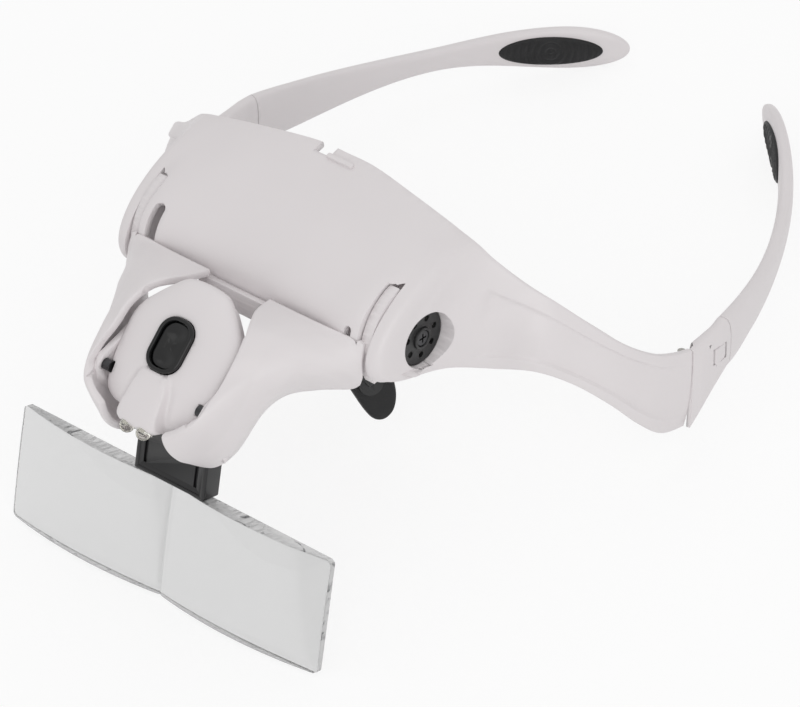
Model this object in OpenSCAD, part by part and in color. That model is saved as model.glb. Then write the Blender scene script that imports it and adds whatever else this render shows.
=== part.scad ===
// Lighted head magnifier with temple arms: a white brow shell carries a tilting visor yoke, and the
// yoke carries a small lamp and a clip-in lens. Lengths are in millimetres and angles in degrees.
// Each module is drawn in the head frame: X to the wearer's left, Y to the back of the head, Z up,
// with its zero at the middle of the axle that joins both hubs. stance() then sets the whole piece
// down on its lens and on the tips of its arms, as it stands on a table.

/* [Stance] */
// How far the head frame leans back when the piece stands on a table
stance_pitch = 14.07; // [8:0.01:20]
// Height of the hub axle over the table
hub_height = 60.17; // [50:0.01:90]
// How far the hub axle is in front of the middle of the whole piece
hub_forward = 44.2; // [30:0.1:80]

/* [Brow shell] */
// Wall of the brow shell
brow_wall = 2; // [1.4:0.1:2.4]
// Radius of the brow shell's round front, about the hub axle
brow_r = 17.5; // [17:0.1:17.8]
// Half of the distance between the slots that the visor's discs turn in
slot_x = 37.4; // [36:0.1:38]
// Width of each disc slot
slot_w = 3.7; // [3.4:0.1:4]
// Radius of the round pocket for a hub cap
pocket_r = 7.9; // [7:0.1:9]
// Distance of each pocket's floor from the middle
pocket_x = 42.2; // [42:0.1:44]

/* [Hubs] */
// Thickness of the visor's turning discs
disc_t = 3; // [2:0.1:3.2]
// Radius of the visor's turning discs
disc_r = 16.6; // [15:0.1:16.8]
// Radius of the axle stub on each disc
axle_r = 3; // [2.4:0.1:4]
// Thickness of a hub cap
cap_t = 1.2; // [1:0.1:2]
// Number of small round holes in a hub cap
cap_holes = 7; // [4:1:9]
// Radius of a small hole in a hub cap
cap_hole_r = 0.85; // [0.5:0.05:1]
// Shank radius of the hub screws
hub_screw_r = 1.1; // [0.8:0.1:1.5]
// Thickness of the spring washers under the hub caps
washer_t = 0.4; // [0.3:0.1:0.6]

/* [Visor yoke] */
// Inner radius of the yoke's bridge, about the hub axle
yoke_r = 18.5; // [18.4:0.1:19]
// Wall of the yoke
yoke_wall = 2.3; // [1.6:0.1:2.6]
// Inside half width of the lamp bay
bay_x = 17.1; // [17:0.1:18]
// Inside radius of the lamp bay, about the lamp pivots
bay_r = 17.6; // [17.2:0.1:18.6]

/* [Lens] */
// Width of the lens
lens_w = 106; // [90:1:116]
// Height of the lens
lens_h = 32.5; // [26:0.5:38]
// Thickness of the lens in the middle of each half
lens_t_mid = 6; // [4:0.1:7]
// Thickness of the lens at the seam between the halves
lens_t_seam = 3.2; // [2.4:0.1:4]
// Thickness of the lens at its outer ends
lens_t_end = 1.8; // [1.4:0.1:3]
// Tilt of the lens and its clip, bottom edge to the front
lens_tilt = 9.5; // [0:0.5:14]
// Width of the lens clip
clip_w = 24; // [18:0.5:26]
// Depth of the lens clip from front to back
clip_d = 6.2; // [5:0.1:6.8]
// Height of the lens clip
clip_h = 14; // [12:0.5:15]
// Thickness of the tab that holds the lens in its clip
tab_t = 2.2; // [1.4:0.1:2.6]
// Height of the lens tab inside the clip
tab_h = 4.5; // [3:0.1:6]

/* [Lamp] */
// Wall of the lamp case
lamp_wall = 1.6; // [1.2:0.1:1.8]
// Radius of the lamp pivot pins
lamp_pin_r = 1.5; // [1:0.1:1.8]
// Diameter of a coin cell
cell_d = 20; // [16:0.5:20]
// Thickness of a coin cell
cell_t = 1.6; // [1.2:0.1:1.6]
// Length of the switch opening
switch_l = 17; // [14:0.5:17.5]
// Width of the switch opening
switch_w = 10.4; // [8:0.1:11]
// Diameter of the lamp bulbs
bulb_d = 4; // [3:0.1:4.4]
// Distance between the bulb centres
bulb_gap = 5.6; // [5:0.1:6.2]

/* [Temples] */
// Bend radius of the arms, seen from above
arm_bend_r = 143; // [130:1:180]
// Angle of the bend from the seam to the tip
arm_sweep = 44; // [36:0.5:48]
// Thickness of an arm
arm_t = 3.2; // [2.6:0.1:4]
// Height of an arm at the seam
arm_h_root = 15; // [12:0.5:16]
// Least height of an arm, halfway along
arm_h_mid = 7.4; // [6:0.1:9]
// Height of an arm at its widest near the tip
arm_h_tip = 12.6; // [10:0.1:14]
// Thickness of the grip pads at the tips
pad_t = 1.2; // [0.8:0.1:1.6]
// Radius of the hinge pins
hinge_pin_r = 1.1; // [0.8:0.1:1.3]
// Radius of the hinge knuckles
knuckle_r = 2.5; // [2.2:0.1:2.7]

/* [Fits] */
// Running gap between a turning shaft and its hole
run_gap = 0.06; // [0.03:0.01:0.1]
// Gap between pieces that are fixed or slide side by side
side_gap = 0.2; // [0.1:0.05:0.3]

/* [Hidden] */
$fn = 48;

WHITE = "#dedada";
BLACK = "#26272a";
STEEL = "#b9bcc0";

// Ribs of the brow shell's outer face on the wearer's left, from the middle to the hinge. Each rib is
// a curve through the air from the lower edge to the upper edge with two guide points between.
rib_low = -3;
RIBS = [
  [[0, -brow_r + 0.1, rib_low], [0, -brow_r - 0.4, 10.5], [0, -13.5, 17], [0, 21.2, 26.7]],
  [[10, -brow_r + 0.1, rib_low], [10, -brow_r - 0.4, 10.5], [10, -13.5, 17], [10, 21, 26.6]],
  [[25, -brow_r + 0.1, rib_low], [25, -brow_r - 0.4, 10.5], [25, -13.5, 17], [25.5, 19.2, 25]],
  [[37, -brow_r + 0.1, rib_low], [37, -brow_r - 0.4, 10.5], [37, -13.5, 17], [37, 18.2, 23.2]],
  [[41, -7, -9], [41, -29, -8.5], [41, -18, 19], [41, 18, 22.3]],
  [[44.4, -5.5, -10], [44.6, -27.5, -8.5], [44.4, -17.5, 18.6], [44.4, 17.8, 21.6]],
  [[45.2, -3.2, -10.9], [45.2, -21.5, -8.5], [45.2, -13.6, 17], [46, 17.9, 21]],
  [[46, 0.8, -11.5], [44.8, -12, -8.5], [45, -7.5, 13.6], [48, 18.1, 20]],
  [[48, 7.6, -12.2], [46, 2.4, -6], [46, 5, 10.5], [51.8, 19.6, 16.6]],
  [[55, 14.6, -11.6], [54, 13.6, -5], [53.8, 16, 6], [58.5, 23.4, 10.7]],
  [[64.5, 20, -11], [65.8, 20, -5], [65.2, 22, 2.5], [65.5, 27.8, 6]],
  [[70.8, 28, -16], [72.3, 28.5, -11], [72, 31, -5], [72.5, 34, -1.2]],
  [[76, 36.5, -24], [78, 37, -18], [78, 39, -11], [77.6, 40.5, -7.6]],
  [[79.3, 45, -33], [81.6, 46, -26], [81.6, 48, -17], [81, 48.5, -13]],
  [[80.8, 52.5, -38.8], [83, 53.5, -30], [83, 55, -20], [82.6, 55.5, -15.6]],
  [[81.6, 57.5, -40.8], [83.8, 58.5, -32], [83.8, 59.5, -22], [83.4, 60, -16.4]]
];
rib_points = 12;
rib_steps = 2;

function unit(v) = v / max(norm(v), 1e-9);
function mirror_x(p) = [-p[0], p[1], p[2]];
function bezier(c, t) =
  pow(1 - t, 3) * c[0] + 3 * pow(1 - t, 2) * t * c[1] + 3 * (1 - t) * t * t * c[2] + t * t * t * c[3];
function spline(a, b, c, d, t) =
  0.5 * (2 * b + (c - a) * t + (2 * a - 5 * b + 4 * c - d) * t * t + (3 * b - a - 3 * c + d) * t * t * t);

// Both halves of the ribs, from the wearer's right hinge to the left one
ALL_RIBS = concat(
  [for (i = [len(RIBS) - 1 : -1 : 1]) [for (p = RIBS[i]) mirror_x(p)]],
  RIBS
);
function rib_at(i, t) = let (n = len(ALL_RIBS) - 1)
  [for (k = [0:3]) spline(ALL_RIBS[max(i - 1, 0)][k], ALL_RIBS[i][k], ALL_RIBS[min(i + 1, n)][k],
    ALL_RIBS[min(i + 2, n)][k], t)];
BROW_CURVES = concat(
  [for (i = [0 : len(ALL_RIBS) - 2]) for (s = [0 : rib_steps - 1]) rib_at(i, s / rib_steps)],
  [ALL_RIBS[len(ALL_RIBS) - 1]]
);
BROW_GRID = [for (c = BROW_CURVES) [for (j = [0:rib_points]) bezier(c, j / rib_points)]];
function grid_normal(g, i, j) = let (n = len(g) - 1, m = len(g[0]) - 1)
  unit(cross(g[min(i + 1, n)][j] - g[max(i - 1, 0)][j], g[i][min(j + 1, m)] - g[i][max(j - 1, 0)]));

// A wall of even thickness behind a grid of points, closed all round its edges
module walled(g, wall) {
  n = len(g);
  m = len(g[0]);
  inner = [for (i = [0 : n - 1]) [for (j = [0 : m - 1]) g[i][j] - wall * grid_normal(g, i, j)]];
  points = concat([for (r = g) each r], [for (r = inner) each r]);
  k = n * m;
  face_pairs = [for (i = [0 : n - 2]) for (j = [0 : m - 2]) let (a = i * m + j, b = a + m) [a, b, a + 1, b + 1]];
  outer_faces = [for (q = face_pairs) each [[q[0], q[2], q[3]], [q[0], q[3], q[1]]]];
  inner_faces = [for (q = face_pairs) each [[q[0] + k, q[3] + k, q[2] + k], [q[0] + k, q[1] + k, q[3] + k]]];
  low = [for (i = [0 : n - 2]) i * m];
  low_rim = [for (a = low) each [[a, a + m, a + m + k], [a, a + m + k, a + k]]];
  high_rim = [for (q = low) let (a = q + m - 1) each [[a, a + m + k, a + m], [a, a + k, a + m + k]]];
  first_rim = [for (a = [0 : m - 2]) each [[a, a + k, a + 1 + k], [a, a + 1 + k, a + 1]]];
  base = (n - 1) * m;
  last_rim = [for (j = [0 : m - 2]) let (a = base + j) each [[a, a + 1 + k, a + k], [a, a + 1, a + 1 + k]]];
  polyhedron(points, concat(outer_faces, inner_faces, low_rim, high_rim, first_rim, last_rim), convexity = 8);
}

// A solid through a row of closed rings with flat ends
module skin(rings) {
  n = len(rings);
  m = len(rings[0]);
  points = [for (r = rings) each r];
  sides = [for (i = [0 : n - 2]) for (j = [0 : m - 1])
    let (a = i * m + j, b = i * m + (j + 1) % m) each [[a, b, b + m], [a, b + m, a + m]]];
  first = [for (j = [1 : m - 2]) [0, j + 1, j]];
  last = [for (j = [1 : m - 2]) [(n - 1) * m, (n - 1) * m + j, (n - 1) * m + j + 1]];
  polyhedron(points, concat(sides, first, last), convexity = 6);
}

module stance() {
  translate([0, -hub_forward, hub_height]) rotate([-stance_pitch, 0, 0]) children();
}

// Draws its children on the wearer's left and again on the right
module both_sides() {
  children();
  mirror([1, 0, 0]) children();
}

// A cylinder along X from one place to another
module bar_x(x0, x1, r, y = 0, z = 0) {
  translate([x0, y, z]) rotate([0, 90, 0]) cylinder(r = r, h = x1 - x0);
}

// A side outline, given as points in Y and Z, drawn out along X
module side_slab(x0, x1, outline) {
  translate([x0, 0, 0]) rotate([90, 0, 90]) linear_extrude(x1 - x0) polygon(outline);
}

module balls(r, places) {
  hull() for (p = places) translate(p) sphere(r = r, $fn = 20);
}

// A round rod between two places
module rod(a, b, r) {
  d = b - a;
  translate(a) rotate([0, acos(d[2] / norm(d)), atan2(d[1], d[0])]) cylinder(r = r, h = norm(d));
}

// A flat capsule outline with its long side along Y
module capsule(w, l) {
  square([w, l - w], center = true);
  for (s = [-1, 1]) translate([0, s * (l - w) / 2]) circle(d = w);
}

module rounded_rect(w, h, r) {
  square([w - 2 * r, h], center = true);
  square([w, h - 2 * r], center = true);
  for (sx = [-1, 1]) for (sy = [-1, 1]) translate([sx * (w / 2 - r), sy * (h / 2 - r)]) circle(r = r);
}

// Brow shell, its liner and the nose rest
disc_x = slot_x + (slot_w - disc_t) / 2;
slot_end = slot_x + slot_w;
cup_wall = 1.5;
cup_mid = 45.6;
cup_top = 52;
cup_turn = 12;
slot_from = -42;
slot_to = 74;
liner_angle = 39.3;
liner_y = 2;
liner_z = 8.4;
liner_t = 2;
liner_w = 70;
liner_l = 37;
land_w = 22;
land_l = 26;
land_t = 0.6;
land_x = 20;
land_y = 3;
liner_post_x = 24;
liner_post_r = 2.8;
liner_post_h = 10;
case_screw_r = 1;
case_screw_head_r = 1.9;
case_screw_head_h = 1.2;

hinge_x = 79.6;
hinge_y = 61;
hinge_top = -18;
hinge_low = -37;
knuckle_low = -31;
knuckle_top = -24;
ear_reach = 7;

module liner_place() {
  translate([0, liner_y, liner_z]) rotate([liner_angle, 0, 0]) children();
}

// The part of a disc between two angles over the front, measured from straight ahead
module sector(x0, x1, a0, a1, r) {
  side_slab(x0, x1, concat([[0, 0]], [for (i = [0:6]) let (a = a0 + (a1 - a0) * i / 6)
    [-1.2 * r * cos(a), 1.2 * r * sin(a)]]));
}

module hinge_ears() {
  for (span = [[hinge_low, knuckle_low - side_gap], [knuckle_top + side_gap, hinge_top]])
    translate([0, 0, span[0]]) {
      translate([hinge_x, hinge_y, 0]) cylinder(r = knuckle_r, h = span[1] - span[0]);
      translate([hinge_x - 0.4, hinge_y - ear_reach, 0]) cube([3, ear_reach, span[1] - span[0]]);
    }
}

module brow_shell() {
  stance() color(WHITE) difference() {
    union() {
      walled(BROW_GRID, brow_wall);
      liner_place() for (s = [-1, 1])
        translate([s * liner_post_x, 0, 0]) cylinder(r = liner_post_r, h = liner_post_h);
      both_sides() {
        difference() {
          bar_x(slot_end, cup_top, pocket_r + cup_wall);
          translate([cup_mid, 0, -20]) rotate([0, 0, -cup_turn]) translate([0, -30, 0]) cube([20, 60, 40]);
        }
        hinge_ears();
      }
    }
    both_sides() {
      bar_x(slot_x, slot_end, disc_r + 0.3);
      intersection() {
        bar_x(slot_x, slot_end, 24);
        sector(slot_x - 1, slot_end + 1, slot_from, slot_to, 24);
      }
      bar_x(pocket_x, 60, pocket_r);
      bar_x(slot_x, 60, axle_r + run_gap);
      translate([hinge_x, hinge_y, hinge_low - 1]) cylinder(r = hinge_pin_r, h = hinge_top - hinge_low + 2);
    }
    liner_place() for (s = [-1, 1])
      translate([s * liner_post_x, 0, -1]) cylinder(r = case_screw_r, h = liner_post_h - 1);
  }
}

module brow_liner() {
  stance() color(WHITE) liner_place() difference() {
    union() {
      translate([0, 0, -liner_t]) linear_extrude(liner_t) rounded_rect(liner_w, liner_l, 4);
      translate([-5, liner_l / 2 - 2, -liner_t]) cube([10, 3.4, liner_t]);
      for (s = [-1, 1]) translate([s * land_x, land_y, -liner_t - land_t]) linear_extrude(land_t + 0.1)
        rounded_rect(land_w, land_l, 3);
    }
    for (s = [-1, 1]) translate([s * liner_post_x, 0, 0]) {
      translate([0, 0, -liner_t - 1]) cylinder(r = case_screw_r + run_gap, h = liner_t + 2);
      translate([0, 0, -liner_t - 1]) cylinder(r = case_screw_head_r + side_gap, h = case_screw_head_h + 1);
    }
  }
}

module brow_screws() {
  stance() color(STEEL) liner_place() for (s = [-1, 1]) translate([s * liner_post_x, 0, 0]) {
    difference() {
      translate([0, 0, -liner_t]) cylinder(r = case_screw_head_r, h = case_screw_head_h);
      cross_recess(-liner_t, 1.6, 0.6);
    }
    translate([0, 0, -liner_t + case_screw_head_h]) cylinder(r = case_screw_r, h = 5);
  }
}

// The cross cut in a screw head, sunk upwards from height z
module cross_recess(z, l, h) {
  for (a = [0, 90]) rotate([0, 0, a]) translate([-l / 2, -0.25, z - 1]) cube([l, 0.5, h + 1]);
}

// Nose rest: a bridge under the liner with two arms that end in plates for the pads
bridge_w = 14;
bridge_y = 3;
bridge_z = 2.8;
nose_x = 11.6;
nose_y = 16.8;
nose_z = -35.6;
nose_arm_r = 1.3;
nose_turn = -24;
nose_lean = 14;
nose_pad_t = 2.4;
nose_pad_w = 12;
nose_pad_l = 21;
nose_plate_t = 1.4;
nose_screw_r = 0.7;

module nose_place() {
  translate([nose_x, nose_y, nose_z]) rotate([nose_lean, 0, nose_turn]) rotate([0, -12, 0]) children();
}

module nose_bridge() {
  stance() color(WHITE) {
    difference() {
      union() {
        side_slab(-bridge_w / 2, bridge_w / 2, [[-1.6, 5.2], [1.2, 7.4], [4.2, -6], [11.6, -20], [9.6, -22.4],
          [6, -19.4], [-1.4, -7], [-3.2, 3.9]]);
        both_sides() {
          rod([6, 7, -18], [nose_x + 2.6, nose_y - 1.3, nose_z + 0.6], nose_arm_r);
          nose_place() translate([nose_pad_t / 2 + side_gap / 2, 0, 0]) rotate([0, 90, 0])
            cylinder(r = 3.4, h = nose_plate_t);
        }
      }
      both_sides() nose_place() translate([-6, 0, 0]) rotate([0, 90, 0])
        cylinder(r = nose_screw_r, h = 12);
      both_sides() nose_place() translate([-4 + nose_pad_t / 2, -9, -13]) cube([4, 18, 26]);
      liner_place() translate([-30, -30, -liner_t]) cube([60, 60, 20]);
    }
  }
}

module nose_pad() {
  color(BLACK) nose_place() difference() {
    translate([-nose_pad_t / 2, 0, 0]) rotate([0, 90, 0]) linear_extrude(nose_pad_t) union() {
      translate([nose_pad_l / 2 - nose_pad_w / 2, 0]) circle(d = nose_pad_w);
      polygon([[-nose_pad_l / 2, -1], [-nose_pad_l / 2 + 3, nose_pad_w * 0.34],
        [nose_pad_l / 2 - nose_pad_w / 2, nose_pad_w / 2], [nose_pad_l / 2 - nose_pad_w / 2, -nose_pad_w / 2]]);
    }
    translate([-6, 0, 0]) rotate([0, 90, 0]) cylinder(r = nose_screw_r + run_gap, h = 12);
  }
}

module nose_pad_left() {
  stance() nose_pad();
}

module nose_pad_right() {
  stance() mirror([1, 0, 0]) nose_pad();
}

module nose_pad_screws() {
  stance() color(STEEL) both_sides() nose_place() {
    translate([-nose_pad_t / 2, 0, 0]) rotate([0, 90, 0]) cylinder(r = nose_screw_r, h = nose_pad_t + 1.4);
  }
}

// Hubs
module hub_washers() {
  stance() color(STEEL) both_sides() difference() {
    bar_x(pocket_x + 0.05, pocket_x + 0.05 + washer_t, 5.6);
    bar_x(pocket_x - 1, pocket_x + 2, axle_r + 0.3);
  }
}

cap_x = pocket_x + washer_t + 0.1;
cap_r = pocket_r - 0.25;
cap_ring_r = 5.2;
cap_boss = 0.7;
cap_seat = 0.7;
hub_head_r = 2;
hub_head_t = 0.9;

module hub_cap() {
  color(BLACK) difference() {
    union() {
      bar_x(cap_x, cap_x + cap_t, cap_r);
      bar_x(cap_x, cap_x + cap_t + cap_boss, 3);
    }
    bar_x(cap_x + cap_seat, cap_x + 5, hub_head_r + side_gap);
    bar_x(cap_x - 1, cap_x + 5, hub_screw_r + run_gap);
    for (i = [0 : cap_holes - 1]) let (a = 360 * i / cap_holes)
      bar_x(cap_x - 1, cap_x + cap_t + 1, cap_hole_r, cap_ring_r * cos(a), cap_ring_r * sin(a));
  }
}

module hub_cap_left() {
  stance() hub_cap();
}

module hub_cap_right() {
  stance() mirror([1, 0, 0]) hub_cap();
}

module hub_screws() {
  stance() color(STEEL) both_sides() difference() {
    union() {
      bar_x(cap_x + cap_seat, cap_x + cap_seat + hub_head_t, hub_head_r);
      bar_x(disc_x + 1, cap_x + cap_seat, hub_screw_r);
    }
    translate([cap_x + cap_seat + hub_head_t, 0, 0]) rotate([0, -90, 0]) cross_recess(0, 2.6, 0.5);
  }
}

// Visor yoke: a bridge and two arms behind the lamp, a bay that the lamp tilts in, and a socket
// under it for the lens clip
lamp_y = -51.5;
lamp_z = -9.5;
lip_y = -42.6;
lip_z = -42;
lip_wall = 1.6;
clip_front = -4.5;
lip_low = 9.6;
lip_high = 17;
lip_hold = 1.4;

module lens_place() {
  translate([0, lip_y, lip_z]) rotate([-lens_tilt, 0, 0]) children();
}

// Ribs of one yoke arm's outer face, each from the edge beside the lamp to the outer and lower edge
YOKE_RIBS = [
  [[10.4, -20, 6.2], [20, -20.6, 6.8], [29, -19.4, 6.2], [37.4, -17.9, 4.6]],
  [[13.2, -29.4, 7.2], [21, -26.6, 7.2], [34, -21, 5.4], [37.6, -18.4, -0.8]],
  [[16.6, -37, 7.2], [23, -32.5, 7], [36.4, -22, 2], [37.4, -18.2, -6.4]],
  [[18.3, -42, 3.2], [23.6, -36.5, 4.6], [34.6, -24, -0.6], [36.4, -18.6, -10]],
  [[18.7, -47.2, -1.6], [23.6, -40, 2], [30, -30.4, 0], [30.8, -24.4, -9.6]],
  [[18.7, -52.4, -4.8], [23, -44.6, -1.4], [26.4, -36.2, -3.4], [24.2, -29.6, -11.6]],
  [[18.6, -56, -7.6], [21.8, -49.4, -5.6], [23, -40.4, -11.6], [18.6, -32.4, -18]],
  [[17.2, -58.8, -10.6], [19.4, -53.8, -11.6], [18.4, -44.6, -21], [14.6, -38, -27.4]],
  [[14.4, -60.4, -13], [16, -57.8, -15.6], [15, -51, -23.6], [12.6, -45, -29.4]],
  [[11.4, -61, -14.4], [11.8, -61.2, -15.6], [11.8, -61, -17.4], [11.4, -60, -19.2]]
];
yoke_points = 8;
yoke_steps = 2;
function yoke_rib(i, t) = let (n = len(YOKE_RIBS) - 1)
  [for (k = [0:3]) spline(YOKE_RIBS[max(i - 1, 0)][k], YOKE_RIBS[i][k], YOKE_RIBS[min(i + 1, n)][k],
    YOKE_RIBS[min(i + 2, n)][k], t)];
YOKE_CURVES = concat(
  [for (i = [0 : len(YOKE_RIBS) - 2]) for (s = [0 : yoke_steps - 1]) yoke_rib(i, s / yoke_steps)],
  [YOKE_RIBS[len(YOKE_RIBS) - 1]]
);

module yoke_arm() {
  walled([for (c = YOKE_CURVES) [for (j = [0:yoke_points]) bezier(c, j / yoke_points)]], yoke_wall);
}

neck_r = 20.2;
neck_in = 1.4;
neck_low = -27;
neck_high = 13;
bay_back = 2;

module yoke_body() {
  both_sides() {
    yoke_arm();
    intersection() {
      bar_x(disc_x - neck_in, disc_x + disc_t, neck_r);
      sector(disc_x - neck_in - 1, disc_x + disc_t + 1, neck_low, neck_high, neck_r);
      side_slab(disc_x - neck_in - 1, disc_x + disc_t + 1, [[-neck_r - 1, 20], [-12, 20], [-12, -20], [-neck_r - 1, -20]]);
    }
    intersection() {
      bar_x(disc_x, disc_x + disc_t, disc_r);
      union() {
        sector(disc_x - 1, disc_x + disc_t + 1, -30, 72, disc_r);
        bar_x(disc_x - 1, disc_x + disc_t + 1, 6);
      }
    }
    bar_x(disc_x, pocket_x + 0.35, axle_r);
    side_slab(bay_x, bay_x + yoke_wall, [[-22, 3.6], [-38, 4.6], [-45, -1], [-54, -6.5], [-57, -10], [-56, -14],
      [-50, -19.6], [-42, -22], [-36, -20.6], [-31, -14.4], [-24, -8], [-20, -4]]);
  }
  intersection() {
    difference() {
      bar_x(-12, 12, yoke_r + yoke_wall);
      bar_x(-13, 13, yoke_r);
    }
    translate([-12, -30, -1.4]) cube([24, 20, 5.4]);
  }
  intersection() {
    difference() {
      bar_x(-bay_x - 1, bay_x + 1, bay_r + yoke_wall, lamp_y, lamp_z);
      bar_x(-bay_x - 2, bay_x + 2, bay_r, lamp_y, lamp_z);
    }
    side_slab(-bay_x - 1, bay_x + 1, [[lamp_y + 3, -60], [lamp_y + 3, lamp_z], [lamp_y + 40, lamp_z + bay_back],
      [lamp_y + 40, -60]]);
  }
  difference() {
    lens_place() translate([0, clip_front + clip_d / 2, lip_low]) linear_extrude(lip_high - lip_low)
      rounded_rect(clip_w + 2 * lip_wall, clip_d + 2 * lip_wall, 2.4);
    bar_x(-40, 40, bay_r, lamp_y, lamp_z);
  }
}

module visor_yoke() {
  stance() color(WHITE) difference() {
    yoke_body();
    bar_x(-disc_x, disc_x, yoke_r);
    both_sides() {
      bar_x(bay_x - 1, bay_x + 6, lamp_pin_r + side_gap / 4, lamp_y, lamp_z);
      bar_x(disc_x + 0.8, 60, hub_screw_r);
    }
    side_slab(-bay_x, bay_x, [[-23.2, 20], [-70, 20], [-70, -8], [-34, -13], [-23.2, -2]]);
    lens_place() translate([-clip_w / 2 - side_gap, clip_front - side_gap, -5])
      cube([clip_w + 2 * side_gap, clip_d + 2 * side_gap, clip_h + 5 + 2 * side_gap]);
    lens_place() translate([-clip_w / 2 + lip_hold, clip_front - 12, lip_low - 1])
      cube([clip_w - 2 * lip_hold, 12, lip_high]);
  }
}

module lamp_pivot_pins() {
  stance() color(STEEL) both_sides() bar_x(bay_x - 2.3, bay_x + yoke_wall, lamp_pin_r, lamp_y, lamp_z);
}

// Lens clip and lens, in the frame of the lens
lens_corner = 2.4;
lens_steps = 14;
clip_gap = 0.2;

module lens_clip() {
  stance() color(BLACK) lens_place() difference() {
    translate([-clip_w / 2, clip_front, clip_gap]) cube([clip_w, clip_d, clip_h - clip_gap]);
    translate([-clip_w / 2 + 1.8, -tab_t - clip_gap, -1]) cube([clip_w - 3.6, tab_t + 2 * clip_gap, tab_h + 1 + clip_gap]);
    translate([-clip_w / 2 + 1, clip_front - 1, 1.2]) cube([clip_w - 2, 1.4, 0.5]);
    for (x = [-clip_w / 2 + 3, clip_w / 2 - 3.2])
      translate([x - 0.5, clip_front - 1, 2.4]) cube([1, 1.7, 6.4]);
  }
}

// Front face of one half of the lens at a share u of the way from the seam to the end
function lens_front(u) = let (w = lens_w / 2, t = lens_t_seam + (lens_t_end - lens_t_seam) * u)
  [w * u, -t - (lens_t_mid - (lens_t_seam + lens_t_end) / 2) * 4 * u * (1 - u)];

module lens_plan() {
  right = [for (i = [0:lens_steps]) lens_front(i / lens_steps)];
  left = [for (i = [lens_steps:-1:1]) [-right[i][0], right[i][1]]];
  polygon(concat([[lens_w / 2, 0], [-lens_w / 2, 0]], left, right));
}

module lens() {
  stance() color([0.86, 0.88, 0.9, 0.5]) lens_place() {
    intersection() {
      translate([0, 0, -lens_h]) linear_extrude(lens_h) lens_plan();
      translate([0, 1, -lens_h / 2]) rotate([90, 0, 0]) linear_extrude(lens_t_mid + 4)
        rounded_rect(lens_w, lens_h, lens_corner);
    }
    translate([-clip_w / 2 + 2, -tab_t, -1]) cube([clip_w - 4, tab_t, tab_h + 1]);
  }
}

// Lamp, in two shells split along a plane that leans with its face
lamp_lean = 32;
face_lean = 69.4;
lamp_ball = 2.2;
split_n = -1.6;
BODY_SIDE = [[6, -31, 7.2], [14.2, -38.5, 1.5], [14.2, -53, -7.5], [8.4, -54.6, -15], [8.4, -47.6, -20.6],
  [12.4, -38.4, -11.6], [6, -28.4, 3]];
CROWN_SIDE = [[5, -31.2, 8.2], [5, -41.5, 6.3], [4.6, -46.4, -6.8], [8.6, -36, 0]];
NOSE_SIDE = [[3.8, -45, -8], [3.8, -56, -14], [3.8, -54.4, -18], [5.4, -47, -14]];

function mirrored(list) = concat(list, [for (p = list) mirror_x(p)]);

module lamp_outer() {
  balls(lamp_ball, mirrored(BODY_SIDE));
  balls(lamp_ball, mirrored(CROWN_SIDE));
  balls(lamp_ball, mirrored(NOSE_SIDE));
}

module lamp_inner() {
  balls(lamp_ball - lamp_wall, mirrored(BODY_SIDE));
  balls(lamp_ball - lamp_wall, mirrored(CROWN_SIDE));
}

cell_y = -42;
cell_z = -6;
cell_drop = -3.4;
cell_low = -4.4;

module lamp_place() {
  translate([0, cell_y, cell_z]) rotate([lamp_lean, 0, 0]) children();
}

module switch_place() {
  translate([0, -46.1, 0.45]) rotate([face_lean, 0, 0]) children();
}

module bulb_place() {
  translate([0, -56.4, -16.4]) rotate([90 + lamp_lean, 0, 0]) children();
}

module lamp_front_side(n) {
  lamp_place() translate([-40, -60, n]) cube([80, 120, 60]);
}

module lamp_back_side(n) {
  lamp_place() translate([-40, -60, n - 60]) cube([80, 120, 60]);
}

post_y = 14.6;

module lamp_housing() {
  stance() color(WHITE) difference() {
    union() {
      difference() {
        lamp_outer();
        lamp_inner();
      }
      intersection() {
        lamp_outer();
        lamp_place() translate([0, post_y, -4]) cylinder(r = 2, h = 14);
      }
      both_sides() bar_x(bay_x - 3, bay_x - 0.7, 2.6, lamp_y, lamp_z);
    }
    lamp_back_side(split_n);
    switch_place() translate([0, 0, -3.4]) linear_extrude(10) capsule(switch_w, switch_l);
    for (s = [-1, 1]) bulb_place() translate([s * bulb_gap / 2, 0, -9]) cylinder(r = bulb_d / 2 + run_gap, h = 14);
    for (s = [-1, 1]) bulb_place() translate([s * bulb_gap / 2, 0, 1.2]) cylinder(r = bulb_d / 2 + 0.6, h = 5);
    both_sides() bar_x(bay_x - 4, bay_x + 1, lamp_pin_r + run_gap, lamp_y, lamp_z);
    lamp_place() translate([0, post_y, -6]) cylinder(r = case_screw_r, h = 8.4);
  }
}

module battery_cover() {
  stance() color(WHITE) difference() {
    union() {
      difference() {
        lamp_outer();
        lamp_inner();
      }
      intersection() {
        lamp_outer();
        lamp_place() translate([0, post_y, -12]) cylinder(r = 2.6, h = 14);
      }
    }
    lamp_front_side(split_n - 0.05);
    for (s = [-1, 1]) bulb_place() translate([s * bulb_gap / 2, 0, -9]) cylinder(r = bulb_d / 2 + run_gap, h = 14);
    for (s = [-1, 1]) bulb_place() translate([s * bulb_gap / 2, 0, 1.2]) cylinder(r = bulb_d / 2 + 0.6, h = 5);
    both_sides() bar_x(bay_x - 5, bay_x + 1, 2.6 + side_gap, lamp_y, lamp_z);
    lamp_place() translate([0, post_y, -12]) cylinder(r = case_screw_r + run_gap, h = 20);
    lamp_place() translate([0, post_y, -12]) cylinder(r = case_screw_head_r + side_gap, h = 12 + cover_head_n);
  }
}

cover_head_n = -2.6;

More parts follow.
